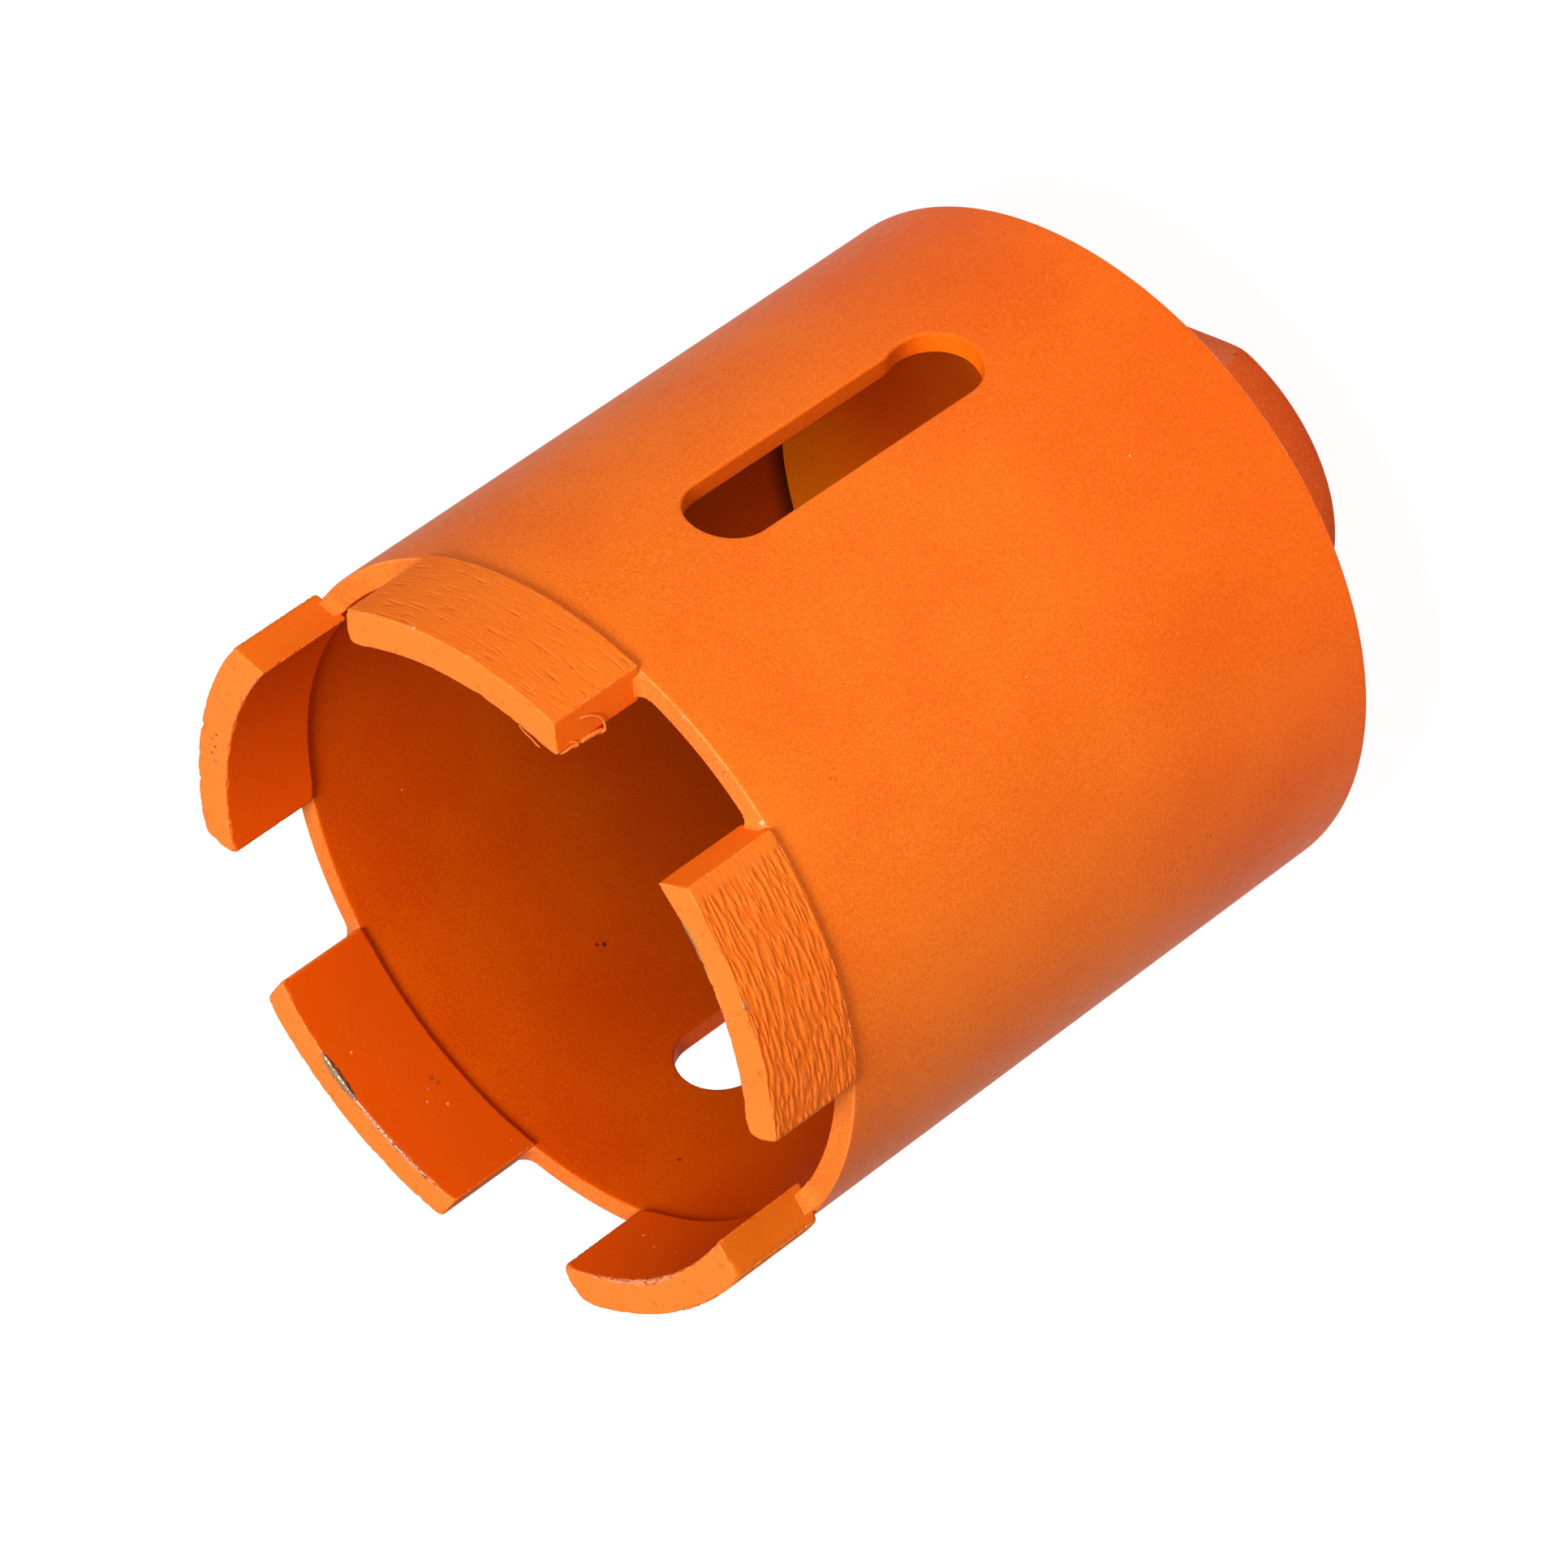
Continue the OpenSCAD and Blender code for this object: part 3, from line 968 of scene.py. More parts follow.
class TubeGrid:
    """Columns and rows of faces round the tube, and the fields round its slots."""

    def __init__(self, sizes):
        self.sizes = sizes
        self.angles = steps(0, TURN, sizes.columns)
        self.levels = steps(TUBE_LOW.z, TUBE_HIGH.z, sizes.rows)
        self.first = self.row_above(sizes.slot_rear - sizes.hole_diameter / 2 - FIELD_MARGIN)
        self.last = self.row_above(sizes.slot_front + sizes.slot_width / 2 + FIELD_MARGIN)
        self.reach = round(math.radians(FIELD_HALF) / self.angles[1])
        self.slots = {round(slot["turn"] / 360 * sizes.columns): slot for slot in SLOTS}

    def row_above(self, height):
        """The first row of the grid above a height."""
        return next(i for i, z in enumerate(self.levels) if z > height)

    def in_field(self, column, row):
        """Tells whether a face of the grid lies in a field that is left open."""
        return self.first <= row < self.last and any(
            abs(column + 0.5 - middle) < self.reach for middle in self.slots)

    def border(self, middle):
        """A field's border, once round, as pairs of a column and a row."""
        left, right = middle - self.reach, middle + self.reach
        return ([(column, self.first) for column in range(left, right)]
                + [(right, row) for row in range(self.first, self.last)]
                + [(column, self.last) for column in range(right, left, -1)]
                + [(left, row) for row in range(self.last, self.first, -1)]
                + [(left, self.first)])

    def outline(self, middle, radius, grow_by):
        """The slot's outline on a cylinder, one angle and height for each border point."""
        points = []
        for column, row in self.border(middle):
            across = self.sizes.radius * math.sin(self.angles[column] - self.angles[middle])
            y, z = slot_point(self.sizes, self.slots[middle], across, self.levels[row], grow_by)
            points.append((self.angles[middle] + math.asin(y / radius), z))
        return points


def round_face(shell, grid, radius, edge):
    """The tube's outer or inner face, up to its rounded edges and to its slots."""
    rows = [TUBE_LOW.z + edge] + grid.levels[1:-1] + [TUBE_HIGH.z - edge]
    for row in range(len(rows) - 1):
        for column in range(len(grid.angles) - 1):
            if not grid.in_field(column, row):
                shell.face([polar(radius, grid.angles[c], rows[r]) for c, r in
                            ((column, row), (column + 1, row), (column + 1, row + 1),
                             (column, row + 1))])
    for middle in grid.slots:
        rim = [(grid.angles[c], rows[r]) for c, r in grid.border(middle)]
        cut = grid.outline(middle, radius, edge)
        shell.skin([[polar(radius, a + (b - a) * t, y + (z - y) * t)
                     for (a, y), (b, z) in zip(cut, rim)] for t in FIELD_RINGS])


def slot_wall(shell, grid, middle, bore):
    """The wall of a slot, from its outer rounded edge to its inner one."""
    sizes = grid.sizes
    wall = [(back, sizes.radius - drop) for back, drop in rounding_steps(sizes.edge)]
    wall += [(0, sizes.radius - sizes.edge * BESIDE_IN_SLOT),
             (0, bore + sizes.inner_edge * BESIDE_IN_SLOT)]
    wall += [(back, bore + drop) for back, drop in rounding_steps(sizes.inner_edge)[::-1]]
    shell.skin([[polar(radius, angle, z) for angle, z in grid.outline(middle, radius, grow_by)]
                for grow_by, radius in wall])


def tube_end(shell, grid, end, inward, bore):
    """One end face of the tube with its two rounded edges."""
    sizes = grid.sizes
    profile = [(sizes.radius - drop, end + inward * back)
               for back, drop in rounding_steps(sizes.edge)]
    flat = steps(sizes.radius - sizes.edge * BESIDE_ON_END,
                 bore + sizes.inner_edge * BESIDE_ON_END, 4)
    profile += [(radius, end) for radius in flat]
    profile += [(bore + drop, end + inward * back)
                for back, drop in rounding_steps(sizes.inner_edge)[::-1]]
    shell.skin([[polar(radius, angle, z) for angle in grid.angles] for radius, z in profile])


def tube_mesh(sizes):
    """The tube's outer and inner face, its slots and its two ends, as one closed shell."""
    shell = Shell()
    grid = TubeGrid(sizes)
    bore = sizes.radius - sizes.wall
    round_face(shell, grid, sizes.radius, sizes.edge)
    round_face(shell, grid, bore, sizes.inner_edge)
    for middle in grid.slots:
        slot_wall(shell, grid, middle, bore)
    tube_end(shell, grid, TUBE_LOW.z, 1, bore)
    tube_end(shell, grid, TUBE_HIGH.z, -1, bore)
    return shell.finish("tube", tube_paint())


class BIT_OT_tube(bpy.types.Operator):
    """Builds the slotted tube"""

    bl_idname = "core_bit.tube"
    bl_label = "Build Tube"

    def execute(self, context):
        add_piece("tube", tube_mesh(context.scene.bit_tube), "orange_paint", "barrel")
        return {"FINISHED"}


# Back plate


class BIT_OT_plate(bpy.types.Operator):
    """Builds the plate that closes the tube's rear"""

    bl_idname = "core_bit.plate"
    bl_label = "Build Back Plate"

    def execute(self, context):
        groove = 1.5 * MM
        rear_edge, front_edge, hole_edge = 0.1 * MM, 0.25 * MM, 0.3 * MM
        hole = context.scene.bit_hub.spigot + 0.05 * MM
        radius = PLATE_HIGH.x
        low, high = PLATE_LOW.z, PLATE_HIGH.z
        outline = rounded([
            (hole, low, rear_edge), (radius - groove, low, rear_edge),
            (radius, low + groove, rear_edge), (radius, high, front_edge),
            (radius * 0.75, high, 0), (radius * 0.55, high, 0), (hole, high, hole_edge)])
        shell = Shell()
        lathe(shell, outline, columns=192)
        add_piece("rear_plate", shell.finish("rear_plate", plate_paint()), "orange_paint",
                  "back_plate")
        return {"FINISHED"}


# Hub


def blend_down(first, second, width):
    """The smaller of two values, with a rounded change from one to the other."""
    share = min(max(0.5 + 0.5 * (second - first) / width, 0), 1)
    return second + (first - second) * share - width * share * (1 - share)


def hub_columns(sizes, near_edge=0.04):
    """Directions round the hub, closer together near the edges of its flats."""
    half = math.acos(sizes.flat / sizes.radius)
    turns = set(steps(0, TURN, 180))
    for side in (0, math.pi):
        for edge in (-half, half):
            middle = math.radians(WRENCH_TURN) + side + edge
            turns.update((middle + offset) % TURN for offset in steps(-near_edge, near_edge, 12))
    return sorted(turns)


def thread_radius(sizes, share):
    """Radius of an internal metric thread, from its root at share 0 of a turn to its crest at
    0.5. The flat at the root is an eighth of the pitch wide, the one at the crest a quarter."""
    depth = 5 / 8 * sizes.thread_pitch * math.cos(math.pi / 6)
    away = min(share, 1 - share)
    return sizes.thread_major - depth * min(max((away - 1 / 16) / (5 / 16), 0), 1)


# The edges of the flats are worn rounder towards the hub's end, within this length and by this
# much at the end itself
WORN_LENGTH = 2 * MM
WORN_ROUNDING = 0.9 * MM
# Heights of the hub's rings above and below the step at which its flats end, in millimetres,
# and of the last ones above its end face, as shares of the edge's rounding
ABOVE_STEP = (4.8, 2.5, 0.6, 0.3, 0.22)
BELOW_STEP = (-0.2, -1, -3, -5, -7, -8.6, -9.6, -9.9, -10.1, -10.3, -10.5, -10.7)
ABOVE_END = (1, 0.62, 0.3, 0.08, 0)
# Rings on the step and on the end face, as shares of the way inwards
ON_STEP = (0.15, 0.85, 1.0)
ON_END = (0.04, 0.3, 0.7, 0.97, 1)
# Shares of a turn of the thread at which its profile has points
THREAD_POINTS = (0.0, 0.05, 0.0625, 0.09, 0.345, 0.375, 0.405, 0.5, 0.595, 0.625, 0.655, 0.91,
                 0.9375, 0.95)


def hub_side(sizes, angle, z, flats=True):
    """Radius of the hub's side in a direction and at a height, with or without its flats."""
    end = HUB_LOW.z
    radius = sizes.radius
    if flats:
        side = abs(math.cos(angle - math.radians(WRENCH_TURN)))
        worn = max(1 - (z - end) / WORN_LENGTH, 0) * WORN_ROUNDING
        radius = blend_down(radius, sizes.flat / max(side, 0.1), sizes.edge + worn)
    radius = blend_down(radius, sizes.radius - sizes.chamfer + z - end, sizes.edge)
    low = max(sizes.edge - (z - end), 0)
    return radius - sizes.edge + math.sqrt(sizes.edge ** 2 - low ** 2)


def hub_rings(sizes):
    """Rings of (radius, height) for a direction, as functions of it: from the spigot over the
    shoulder, the neck, the step and the flats to the mouth in the end face."""
    end, rear, top = HUB_LOW.z, TUBE_LOW.z, HUB_HIGH.z
    step = end + sizes.flat_length
    rings = [lambda a: (sizes.spigot, top - sizes.edge), lambda a: (sizes.spigot, rear),
             lambda a: (sizes.radius, rear)]

    def neck(a):
        return hub_side(sizes, a, rear, flats=False)

    def on_step(a, share):
        start = neck(a) - sizes.edge
        return start * (1 - share) + min(hub_side(sizes, a, step), start) * share

    rings += [lambda a, z=z: (neck(a), z * MM + step) for z in ABOVE_STEP]
    rings += [lambda a, back=back, drop=drop: (neck(a) - drop, step + back)
              for back, drop in rounding_steps(sizes.edge)]
    rings += [lambda a, share=share: (on_step(a, share), step) for share in ON_STEP]
    heights = [step + z * MM for z in BELOW_STEP] + [end + sizes.edge * t for t in ABOVE_END]
    rings += [lambda a, z=z: (hub_side(sizes, a, z), z) for z in heights]
    rings += [lambda a, t=t: (hub_side(sizes, a, end) * (1 - t) + sizes.mouth * t, end)
              for t in ON_END]
    return rings


def thread_rows(sizes, angles):
    """Rows of points along the thread, which end in the countersinks and the two end faces."""
    end, top = HUB_LOW.z, HUB_HIGH.z
    rows = []
    for number in range(-1, math.ceil((top - end) / sizes.thread_pitch) + 1):
        for share in THREAD_POINTS:
            row = []
            for angle in angles:
                z = end + (number + share + angle / TURN) * sizes.thread_pitch
                z = min(max(z, end), top)
                flare = sizes.mouth - min(z - end, top - z)
                row.append(polar(max(thread_radius(sizes, share), flare), angle, z))
            rows.append(row)
    return rows


def hub_mesh(sizes):
    """The hub's outside, its thread and its inner end face, as one closed shell."""
    shell = Shell()
    angles = hub_columns(sizes)
    angles.append(angles[0] + TURN)
    top = HUB_HIGH.z

    def ring(place_at):
        points = []
        for angle in angles[:-1]:
            radius, z = place_at(angle)
            points.append(polar(radius, angle, z))
        return points + points[:1]

    shell.skin([ring(place_at) for place_at in hub_rings(sizes)])
    shell.skin(thread_rows(sizes, angles), 1)
    inner = [(sizes.mouth, top), (sizes.mouth + 0.3 * MM, top),
             (sizes.spigot - sizes.edge * BESIDE, top)]
    inner += [(sizes.spigot - back, top - drop) for back, drop in rounding_steps(sizes.edge)]
    shell.skin([ring(lambda a, place=place: place) for place in inner])
    return shell.finish("threaded_hub", hub_paint(), thread_steel())


class BIT_OT_hub(bpy.types.Operator):
    """Builds the hub with its wrench flats and its thread"""

    bl_idname = "core_bit.hub"
    bl_label = "Build Hub"

    def execute(self, context):
        add_piece("threaded_hub", hub_mesh(context.scene.bit_hub), "hub_paint", "hub")
        return {"FINISHED"}


# Welds

# The hollow of a fillet is an arc. Its centre lies this many times the fillet's leg from each
# of the two pieces that it joins, and so this many times the leg past the end of the other leg
FILLET_CENTRE = 1.3
FILLET_PAST = 0.3
# Faces round a weld, and across the open side of the fillet and of the seam
WELD_COLUMNS = 720
FILLET_FACES = 14
SEAM_FACES = 12


@built_once("node_groups", "Weld ripples")
def ripple_tree(name):
    """Geometry tree that lays the crescent ripples of a weld over a smooth ring."""
    n, inputs = geometry_tree(name, {
        "Geometry": ("mesh", None), "Ripples": ("float", 70.0), "Height": ("length", 0.12 * MM),
        "Middle": ("length", 16 * MM), "Half Width": ("length", 1 * MM), "Seed": ("float", 0.0)})
    place = n.first("GeometryNodeInputPosition")
    x, y, _ = n.split(place)
    across = (n.root(x ** 2.0 + y ** 2.0) - inputs["Middle"]) / inputs["Half Width"]
    around = n.math("ARCTAN2", y, x) / TURN
    uneven = n.noise(place, 220.0, seed=inputs["Seed"])
    phase = across ** 2.0 * -0.55 + (around * inputs["Ripples"] + uneven * 1.6)
    wave = n.math("SINE", n.math("FRACT", phase) * math.pi)
    lump = (wave ** 0.6 - 0.7) * (uneven + 0.6)
    in_open = n.first("GeometryNodeInputNamedAttribute", {"Name": "open_side"}, data_type="FLOAT")
    rise = n.first("GeometryNodeInputNormal") * (lump * inputs["Height"] * in_open)
    moved = n.first("GeometryNodeSetPosition", {"Geometry": inputs["Geometry"], "Offset": rise})
    close_tree(n, moved, inputs["Material"])
    return n.tree


def bead_ring(name, outline, open_share):
    """A closed ring whose points carry how far they lie in the open, from 0 to 1."""
    shell = Shell()
    lathe(shell, outline, WELD_COLUMNS)
    mesh = shell.finish(name)
    share = {(round(p.x / TINY), round(p.y / TINY)): s for p, s in zip(outline, open_share)}
    values = []
    for vertex in mesh.vertices:
        key = (round(vertex.co.xy.length / TINY), round(vertex.co.z / TINY))
        near = [share.get((key[0] + i, key[1] + j)) for i in (-1, 0, 1) for j in (-1, 0, 1)]
        values.append(max((value for value in near if value is not None), default=0.0))
    mesh.attributes.new("open_side", "FLOAT", "POINT").data.foreach_set("value", values)
    return mesh


class BIT_OT_welds(bpy.types.Operator):
    """Builds the weld round the hub and the weld round the plate, with their ripples"""

    bl_idname = "core_bit.welds"
    bl_label = "Build Welds"

    def execute(self, context):
        self.fillet(context.scene.bit_hub)
        self.seam()
        return {"FINISHED"}

    def fillet(self, sizes):
        """Hollow fillet between the hub and the rear plate."""
        leg = HUB_WELD_HIGH.x - sizes.radius
        rear = HUB_WELD_HIGH.z
        centre = Vector((sizes.radius + leg * FILLET_CENTRE, rear - leg * FILLET_CENTRE))
        radius = Vector((leg * FILLET_CENTRE, leg * FILLET_PAST)).length
        ends = (math.pi - math.atan2(FILLET_PAST, FILLET_CENTRE),
                math.atan2(FILLET_CENTRE, -FILLET_PAST))
        arc = [centre + Vector((math.cos(a), math.sin(a))) * radius
               for a in steps(*ends, FILLET_FACES)]
        self.add("hub_weld_bead", arc, [Vector((sizes.radius, rear))],
                 (sizes.radius, sizes.radius + leg), ripples=64.0, height=0.24 * MM,
                 replaced="hub_weld")

    def seam(self):
        """Low crowned seam in the groove between the plate and the tube."""
        low, high = REAR_WELD_LOW.z, REAR_WELD_HIGH.z
        rear = TUBE_LOW.z
        outer = REAR_WELD_HIGH.x
        plate = PLATE_HIGH.x
        inner = plate - (high - rear)
        arc = [Vector((inner + (outer - inner) * t, rear - (rear - low) * math.sin(math.pi * t)))
               for t in steps(0, 1, SEAM_FACES)]
        self.add("rear_weld_bead", arc, [Vector((outer, high)), Vector((plate, high))],
                 (inner, outer), ripples=120.0, height=0.16 * MM, replaced="rear_weld")

    def add(self, name, open_arc, hidden, reach, ripples, height, replaced):
        """Turns a weld's outline, an arc in the open and hidden corners, and lays ripples on it.
        The reach is the inner and the outer radius of the arc."""
        last = len(open_arc) - 1
        open_share = [math.sin(math.pi * i / last) ** 0.7 for i in range(last + 1)]
        ring = bead_ring(name + "_ring", open_arc + hidden, open_share + [0] * len(hidden))
        made = grow(name, ripple_tree(), {
            "Ripples": ripples, "Height": height, "Middle": (reach[0] + reach[1]) / 2,
            "Half Width": (reach[1] - reach[0]) / 2, "Seed": ripples,
            "Material": weld_paint()}, ring)
        add_piece(name, made, "weld_paint", replaced)


# Cutting segments

# How each segment is worn, in millimetres: roundings of its four upright edges, which lie
# outside or inside and ahead or behind, depth of the streaks on its outer face, width of the
# smooth band at that face's end, and where the inner cutting edge is bare, as a patch and as a
# thin line, and where its paint is scuffed. Ragged is how chipped its edges are, and Dug Share
# how much of the outer face the streaks take, both as shares.
SEGMENT_WEAR = {
    1: {"Outer Behind": 0.25, "Inner Behind": 0.2, "Outer Ahead": 0.2,
        "Bare From": -5.4, "Bare To": -0.1, "Bare Width": 1.3,
        "Line From": -5.0, "Line To": 10.5, "Line Width": 0.28,
        "Scuff From": -5.6, "Scuff To": 11.0, "Scuff Width": 0.9,
        "Streak": 0.12, "Ragged": 0.5},
    2: {"Outer Behind": 0.7, "Inner Behind": 0.5, "Outer Ahead": 0.3,
        "Scuff From": -9.0, "Scuff To": 5.0, "Scuff Width": 0.9,
        "Streak": 0.14, "Ragged": 1.0},
    3: {"Inner Behind": 0.8, "Outer Behind": 0.3,
        "Bare From": 3.5, "Bare To": 9.8, "Bare Width": 0.7,
        "Line From": -2.0, "Line To": 11.0, "Line Width": 0.26,
        "Scuff From": -3.0, "Scuff To": 5.5, "Scuff Width": 0.6,
        "Streak": 0.2, "Smooth Band": 1.1, "Dug Share": 0.52, "Ragged": 0.6},
    4: {"Inner Ahead": 0.5, "Inner Behind": 0.25, "Outer Ahead": 0.2,
        "Streak": 0.12, "Dug Share": 0.38, "Ragged": 0.5},
    5: {"Outer Ahead": 0.4, "Inner Ahead": 0.5, "Outer Behind": 0.2,
        "Streak": 0.16, "Ragged": 0.9},
}
WEAR_SHARES = ("Ragged", "Dug Share")
STRETCHES = ("Bare", "Line", "Scuff")
# The upright edges: which way each lies out from the axis and along the segment
UPRIGHT_EDGES = {"Outer Ahead": (1, 1), "Outer Behind": (1, -1), "Inner Ahead": (-1, 1),
                 "Inner Behind": (-1, -1)}


def segment_angle(number):
    """Direction of a segment's middle, in degrees."""
    return SEGMENT_TURN + (number - 1) * 360 / SEGMENT_COUNT + SEAT_DRIFT[number - 1]


def laid_round(n, radius, y, z, turn):
    """The place on the bit of a point on a straight block, whose ends stay parallel."""
    forward = n.root(radius ** 2.0 - y ** 2.0)
    return n.first("ShaderNodeVectorRotate", {"Vector": n.join(forward, y, z), "Angle": turn},
                   rotation_type="Z_AXIS")


def edge_rounding(n, inputs, point, at, half):
    """Rounding of the block's edges, larger at the worn ones and uneven along them all."""
    rounding = inputs["Edge"]
    flat = n.join(at[0], at[1])
    for title, (out, along) in UPRIGHT_EDGES.items():
        away = n.vector("DISTANCE", flat, n.join(half[0] * out, half[1] * along))
        rounding = inputs[title] * n.fade(away, 0.0, 2.2 * MM, 1.0, 0.0) + rounding
    crumbs = n.noise(point, 1000.0, detail=3.0, seed=inputs["Seed"], roughness=0.6)
    crumbs = n.fade(crumbs, 0.5, 0.7) * inputs["Ragged"]
    cutting_side = n.fade(at[2], half[2] * 0.75, half[2])
    rounding = crumbs * cutting_side * (0.6 * MM) + rounding
    nibbles = n.noise(point, 2600.0, seed=inputs["Seed"], roughness=0.6)
    rounding = n.fade(nibbles, 0.5, 0.75) * (0.14 * MM) + rounding
    return n.least(rounding, half[0] * 0.9)


def streaks_of_the_press(n, inputs, at, half, facing_out):
    """How deep the streaks lie that run along the outer face, and the mask of their grooves."""
    bend = n.noise(n.join(*at), 130.0, detail=1.0, seed=inputs["Seed"])
    coarse = n.join(0.0, at[1] * 420.0, at[2] * 2600.0) + n.join(0.0, 0.0, bend * 1.8)
    ridge = n.noise(coarse, 1.0, detail=3.0, seed=inputs["Seed"], roughness=0.45)
    dug = inputs["Dug Share"]
    groove = n.fade(ridge, dug - 0.07, dug + 0.07, 1.0, 0.0)
    fine = n.join(3.0, at[1] * 420.0, at[2] * 5600.0)
    fine = n.noise(fine, 1.0, seed=inputs["Seed"], roughness=0.6)
    band = inputs["Smooth Band"]
    strength = n.fade(half[1] - at[1], band, band + 0.7 * MM, 0.12, 1.0)
    strength = n.fade(facing_out, 0.5, 0.95) * strength
    groove = groove * strength
    return (fine * strength * 0.5 + groove * 0.7) * inputs["Streak"], groove


def inner_edge_wear(n, inputs, at, half):
    """Masks of the bare metal and of the scuffs along the inner cutting edge, strongest on the
    edge itself and narrower towards the two ends of each stretch."""
    to_edge = n.length(at[0] + half[0], 0.0, (at[2] - half[2]) * 1.7)
    wear = {}
    for stretch in STRETCHES:
        start, end, width = (inputs[f"{stretch} {part}"] for part in ("From", "To", "Width"))
        share = (at[1] - start) / n.most(end - start, TINY)
        swell = n.root(n.most(share * (1.0 - share) * 4.0, 0.0))
        wear[stretch] = n.most(1.0 - to_edge / n.most(width * swell, TINY), 0.0)
    return n.most(wear["Bare"], wear["Line"]), wear["Scuff"]


@built_once("node_groups", "Cutting segment")
def segment_tree(name):
    """Geometry tree of one cutting segment: an arc-shaped block with parallel ends, rounded
    and worn edges, streaks on its outer face and pits in its cutting face."""
    n, inputs = geometry_tree(name, {
        "Length": ("length", 24 * MM), "Inner Radius": ("length", 30 * MM),
        "Outer Radius": ("length", 34 * MM), "Base": ("length", 0.0), "Top": ("length", 10 * MM),
        "Turn": ("float", 0.0), "Edge": ("length", 0.25 * MM), "Streak": ("length", 0.1 * MM),
        "Dug Share": ("float", 0.44), "Smooth Band": ("length", 0.0),
        "Pit": ("length", 0.1 * MM), "Ragged": ("float", 0.5), "Seed": ("float", 0.0),
        **{title: ("length", 0.0) for title in UPRIGHT_EDGES},
        **{f"{stretch} {part}": ("length", 0.0) for stretch in STRETCHES
           for part in ("From", "To", "Width")}})
    block = n.first("GeometryNodeMeshCube", {"Size": (2.0, 2.0, 2.0), "Vertices X": 26,
                                             "Vertices Y": 112, "Vertices Z": 120})
    thick = inputs["Outer Radius"] - inputs["Inner Radius"]
    tall = inputs["Top"] - inputs["Base"]
    half = [size * 0.5 for size in (thick, inputs["Length"], tall)]

    # Grid lines lie closer together towards the edges
    crowding = (0.38, 0.3, 0.12)
    at = [value * (abs(value) ** 2.0 * -crowd + (1 + crowd)) * size for value, crowd, size
          in zip(n.split(n.first("GeometryNodeInputPosition")), crowding, half)]
    point = n.join(*at)

    # Each point goes to the surface of a smaller block, and from there out by the rounding
    rounding = edge_rounding(n, inputs, point, at, half)
    core = n.join(*half) - n.join(rounding, rounding, rounding)
    inside = n.vector("MAXIMUM", n.vector("MINIMUM", point, core), -core)
    outwards = n.vector("NORMALIZE", point - inside)
    face_x, face_y, face_z = n.split(outwards)
    chips = n.noise(point, 1900.0, detail=3.0, seed=inputs["Seed"] + 3.0, roughness=0.6)
    in_corner = n.fade(n.most(abs(face_x), abs(face_y), face_z), 0.8, 0.97, 1.0, 0.0)
    chips = n.fade(chips, 0.54, 0.66) * in_corner * inputs["Ragged"] * (0.22 * MM)
    x, y, z = n.split(inside + outwards * rounding - outwards * chips)

    # The outer face has streaks, the cutting face pits and a gentle unevenness
    streaks, groove = streaks_of_the_press(n, inputs, at, half, face_x)
    pits = n.fade(n.noise(point, 1700.0, seed=inputs["Seed"]), 0.63, 0.76)
    sink = n.noise(point, 300.0, seed=inputs["Seed"]) * 0.5 + pits
    z = z - sink * inputs["Pit"] * n.most(face_z, 0.0)

    radius = (inputs["Inner Radius"] + inputs["Outer Radius"]) * 0.5 + (x - streaks)
    z = z + (inputs["Base"] + inputs["Top"]) * 0.5
    bare, scuff = inner_edge_wear(n, inputs, at, half)
    for title, kind, value in (("bare", "FLOAT", bare), ("scuff", "FLOAT", scuff),
                               ("groove", "FLOAT", groove),
                               ("block_place", "FLOAT_VECTOR", point),
                               ("block_normal", "FLOAT_VECTOR", outwards)):
        block = n.first("GeometryNodeStoreNamedAttribute", {
            "Geometry": block, "Name": title, "Value": value}, data_type=kind, domain="POINT")
    moved = n.first("GeometryNodeSetPosition", {
        "Geometry": block, "Position": laid_round(n, radius, y, z, inputs["Turn"])})
    close_tree(n, moved, inputs["Material"])
    return n.tree


class BIT_OT_segments(bpy.types.Operator):
    """Builds the cutting segments, each worn in its own way"""

    bl_idname = "core_bit.segments"
    bl_label = "Build Segments"

    def execute(self, context):
        sizes = context.scene.bit_segments
        for number in range(1, SEGMENT_COUNT + 1):
            wear = {title: value * (1 if title in WEAR_SHARES else MM)
                    for title, value in SEGMENT_WEAR[number].items()}
            values = {"Length": sizes.span, "Inner Radius": sizes.inner,
                      "Outer Radius": sizes.outer, "Base": SEGMENT_LOW.z, "Top": SEGMENT_HIGH.z,
                      "Turn": math.radians(segment_angle(number)), "Edge": sizes.edge,
                      "Pit": sizes.pit, "Seed": float(number * 7), "Material": segment_paint()}
            name = f"cutting_segment_{number}"
            made = grow(name, segment_tree(), {**values, **wear})
            add_piece(name, made, "segment_paint", f"segment_{number}")
        return {"FINISHED"}


# Braze


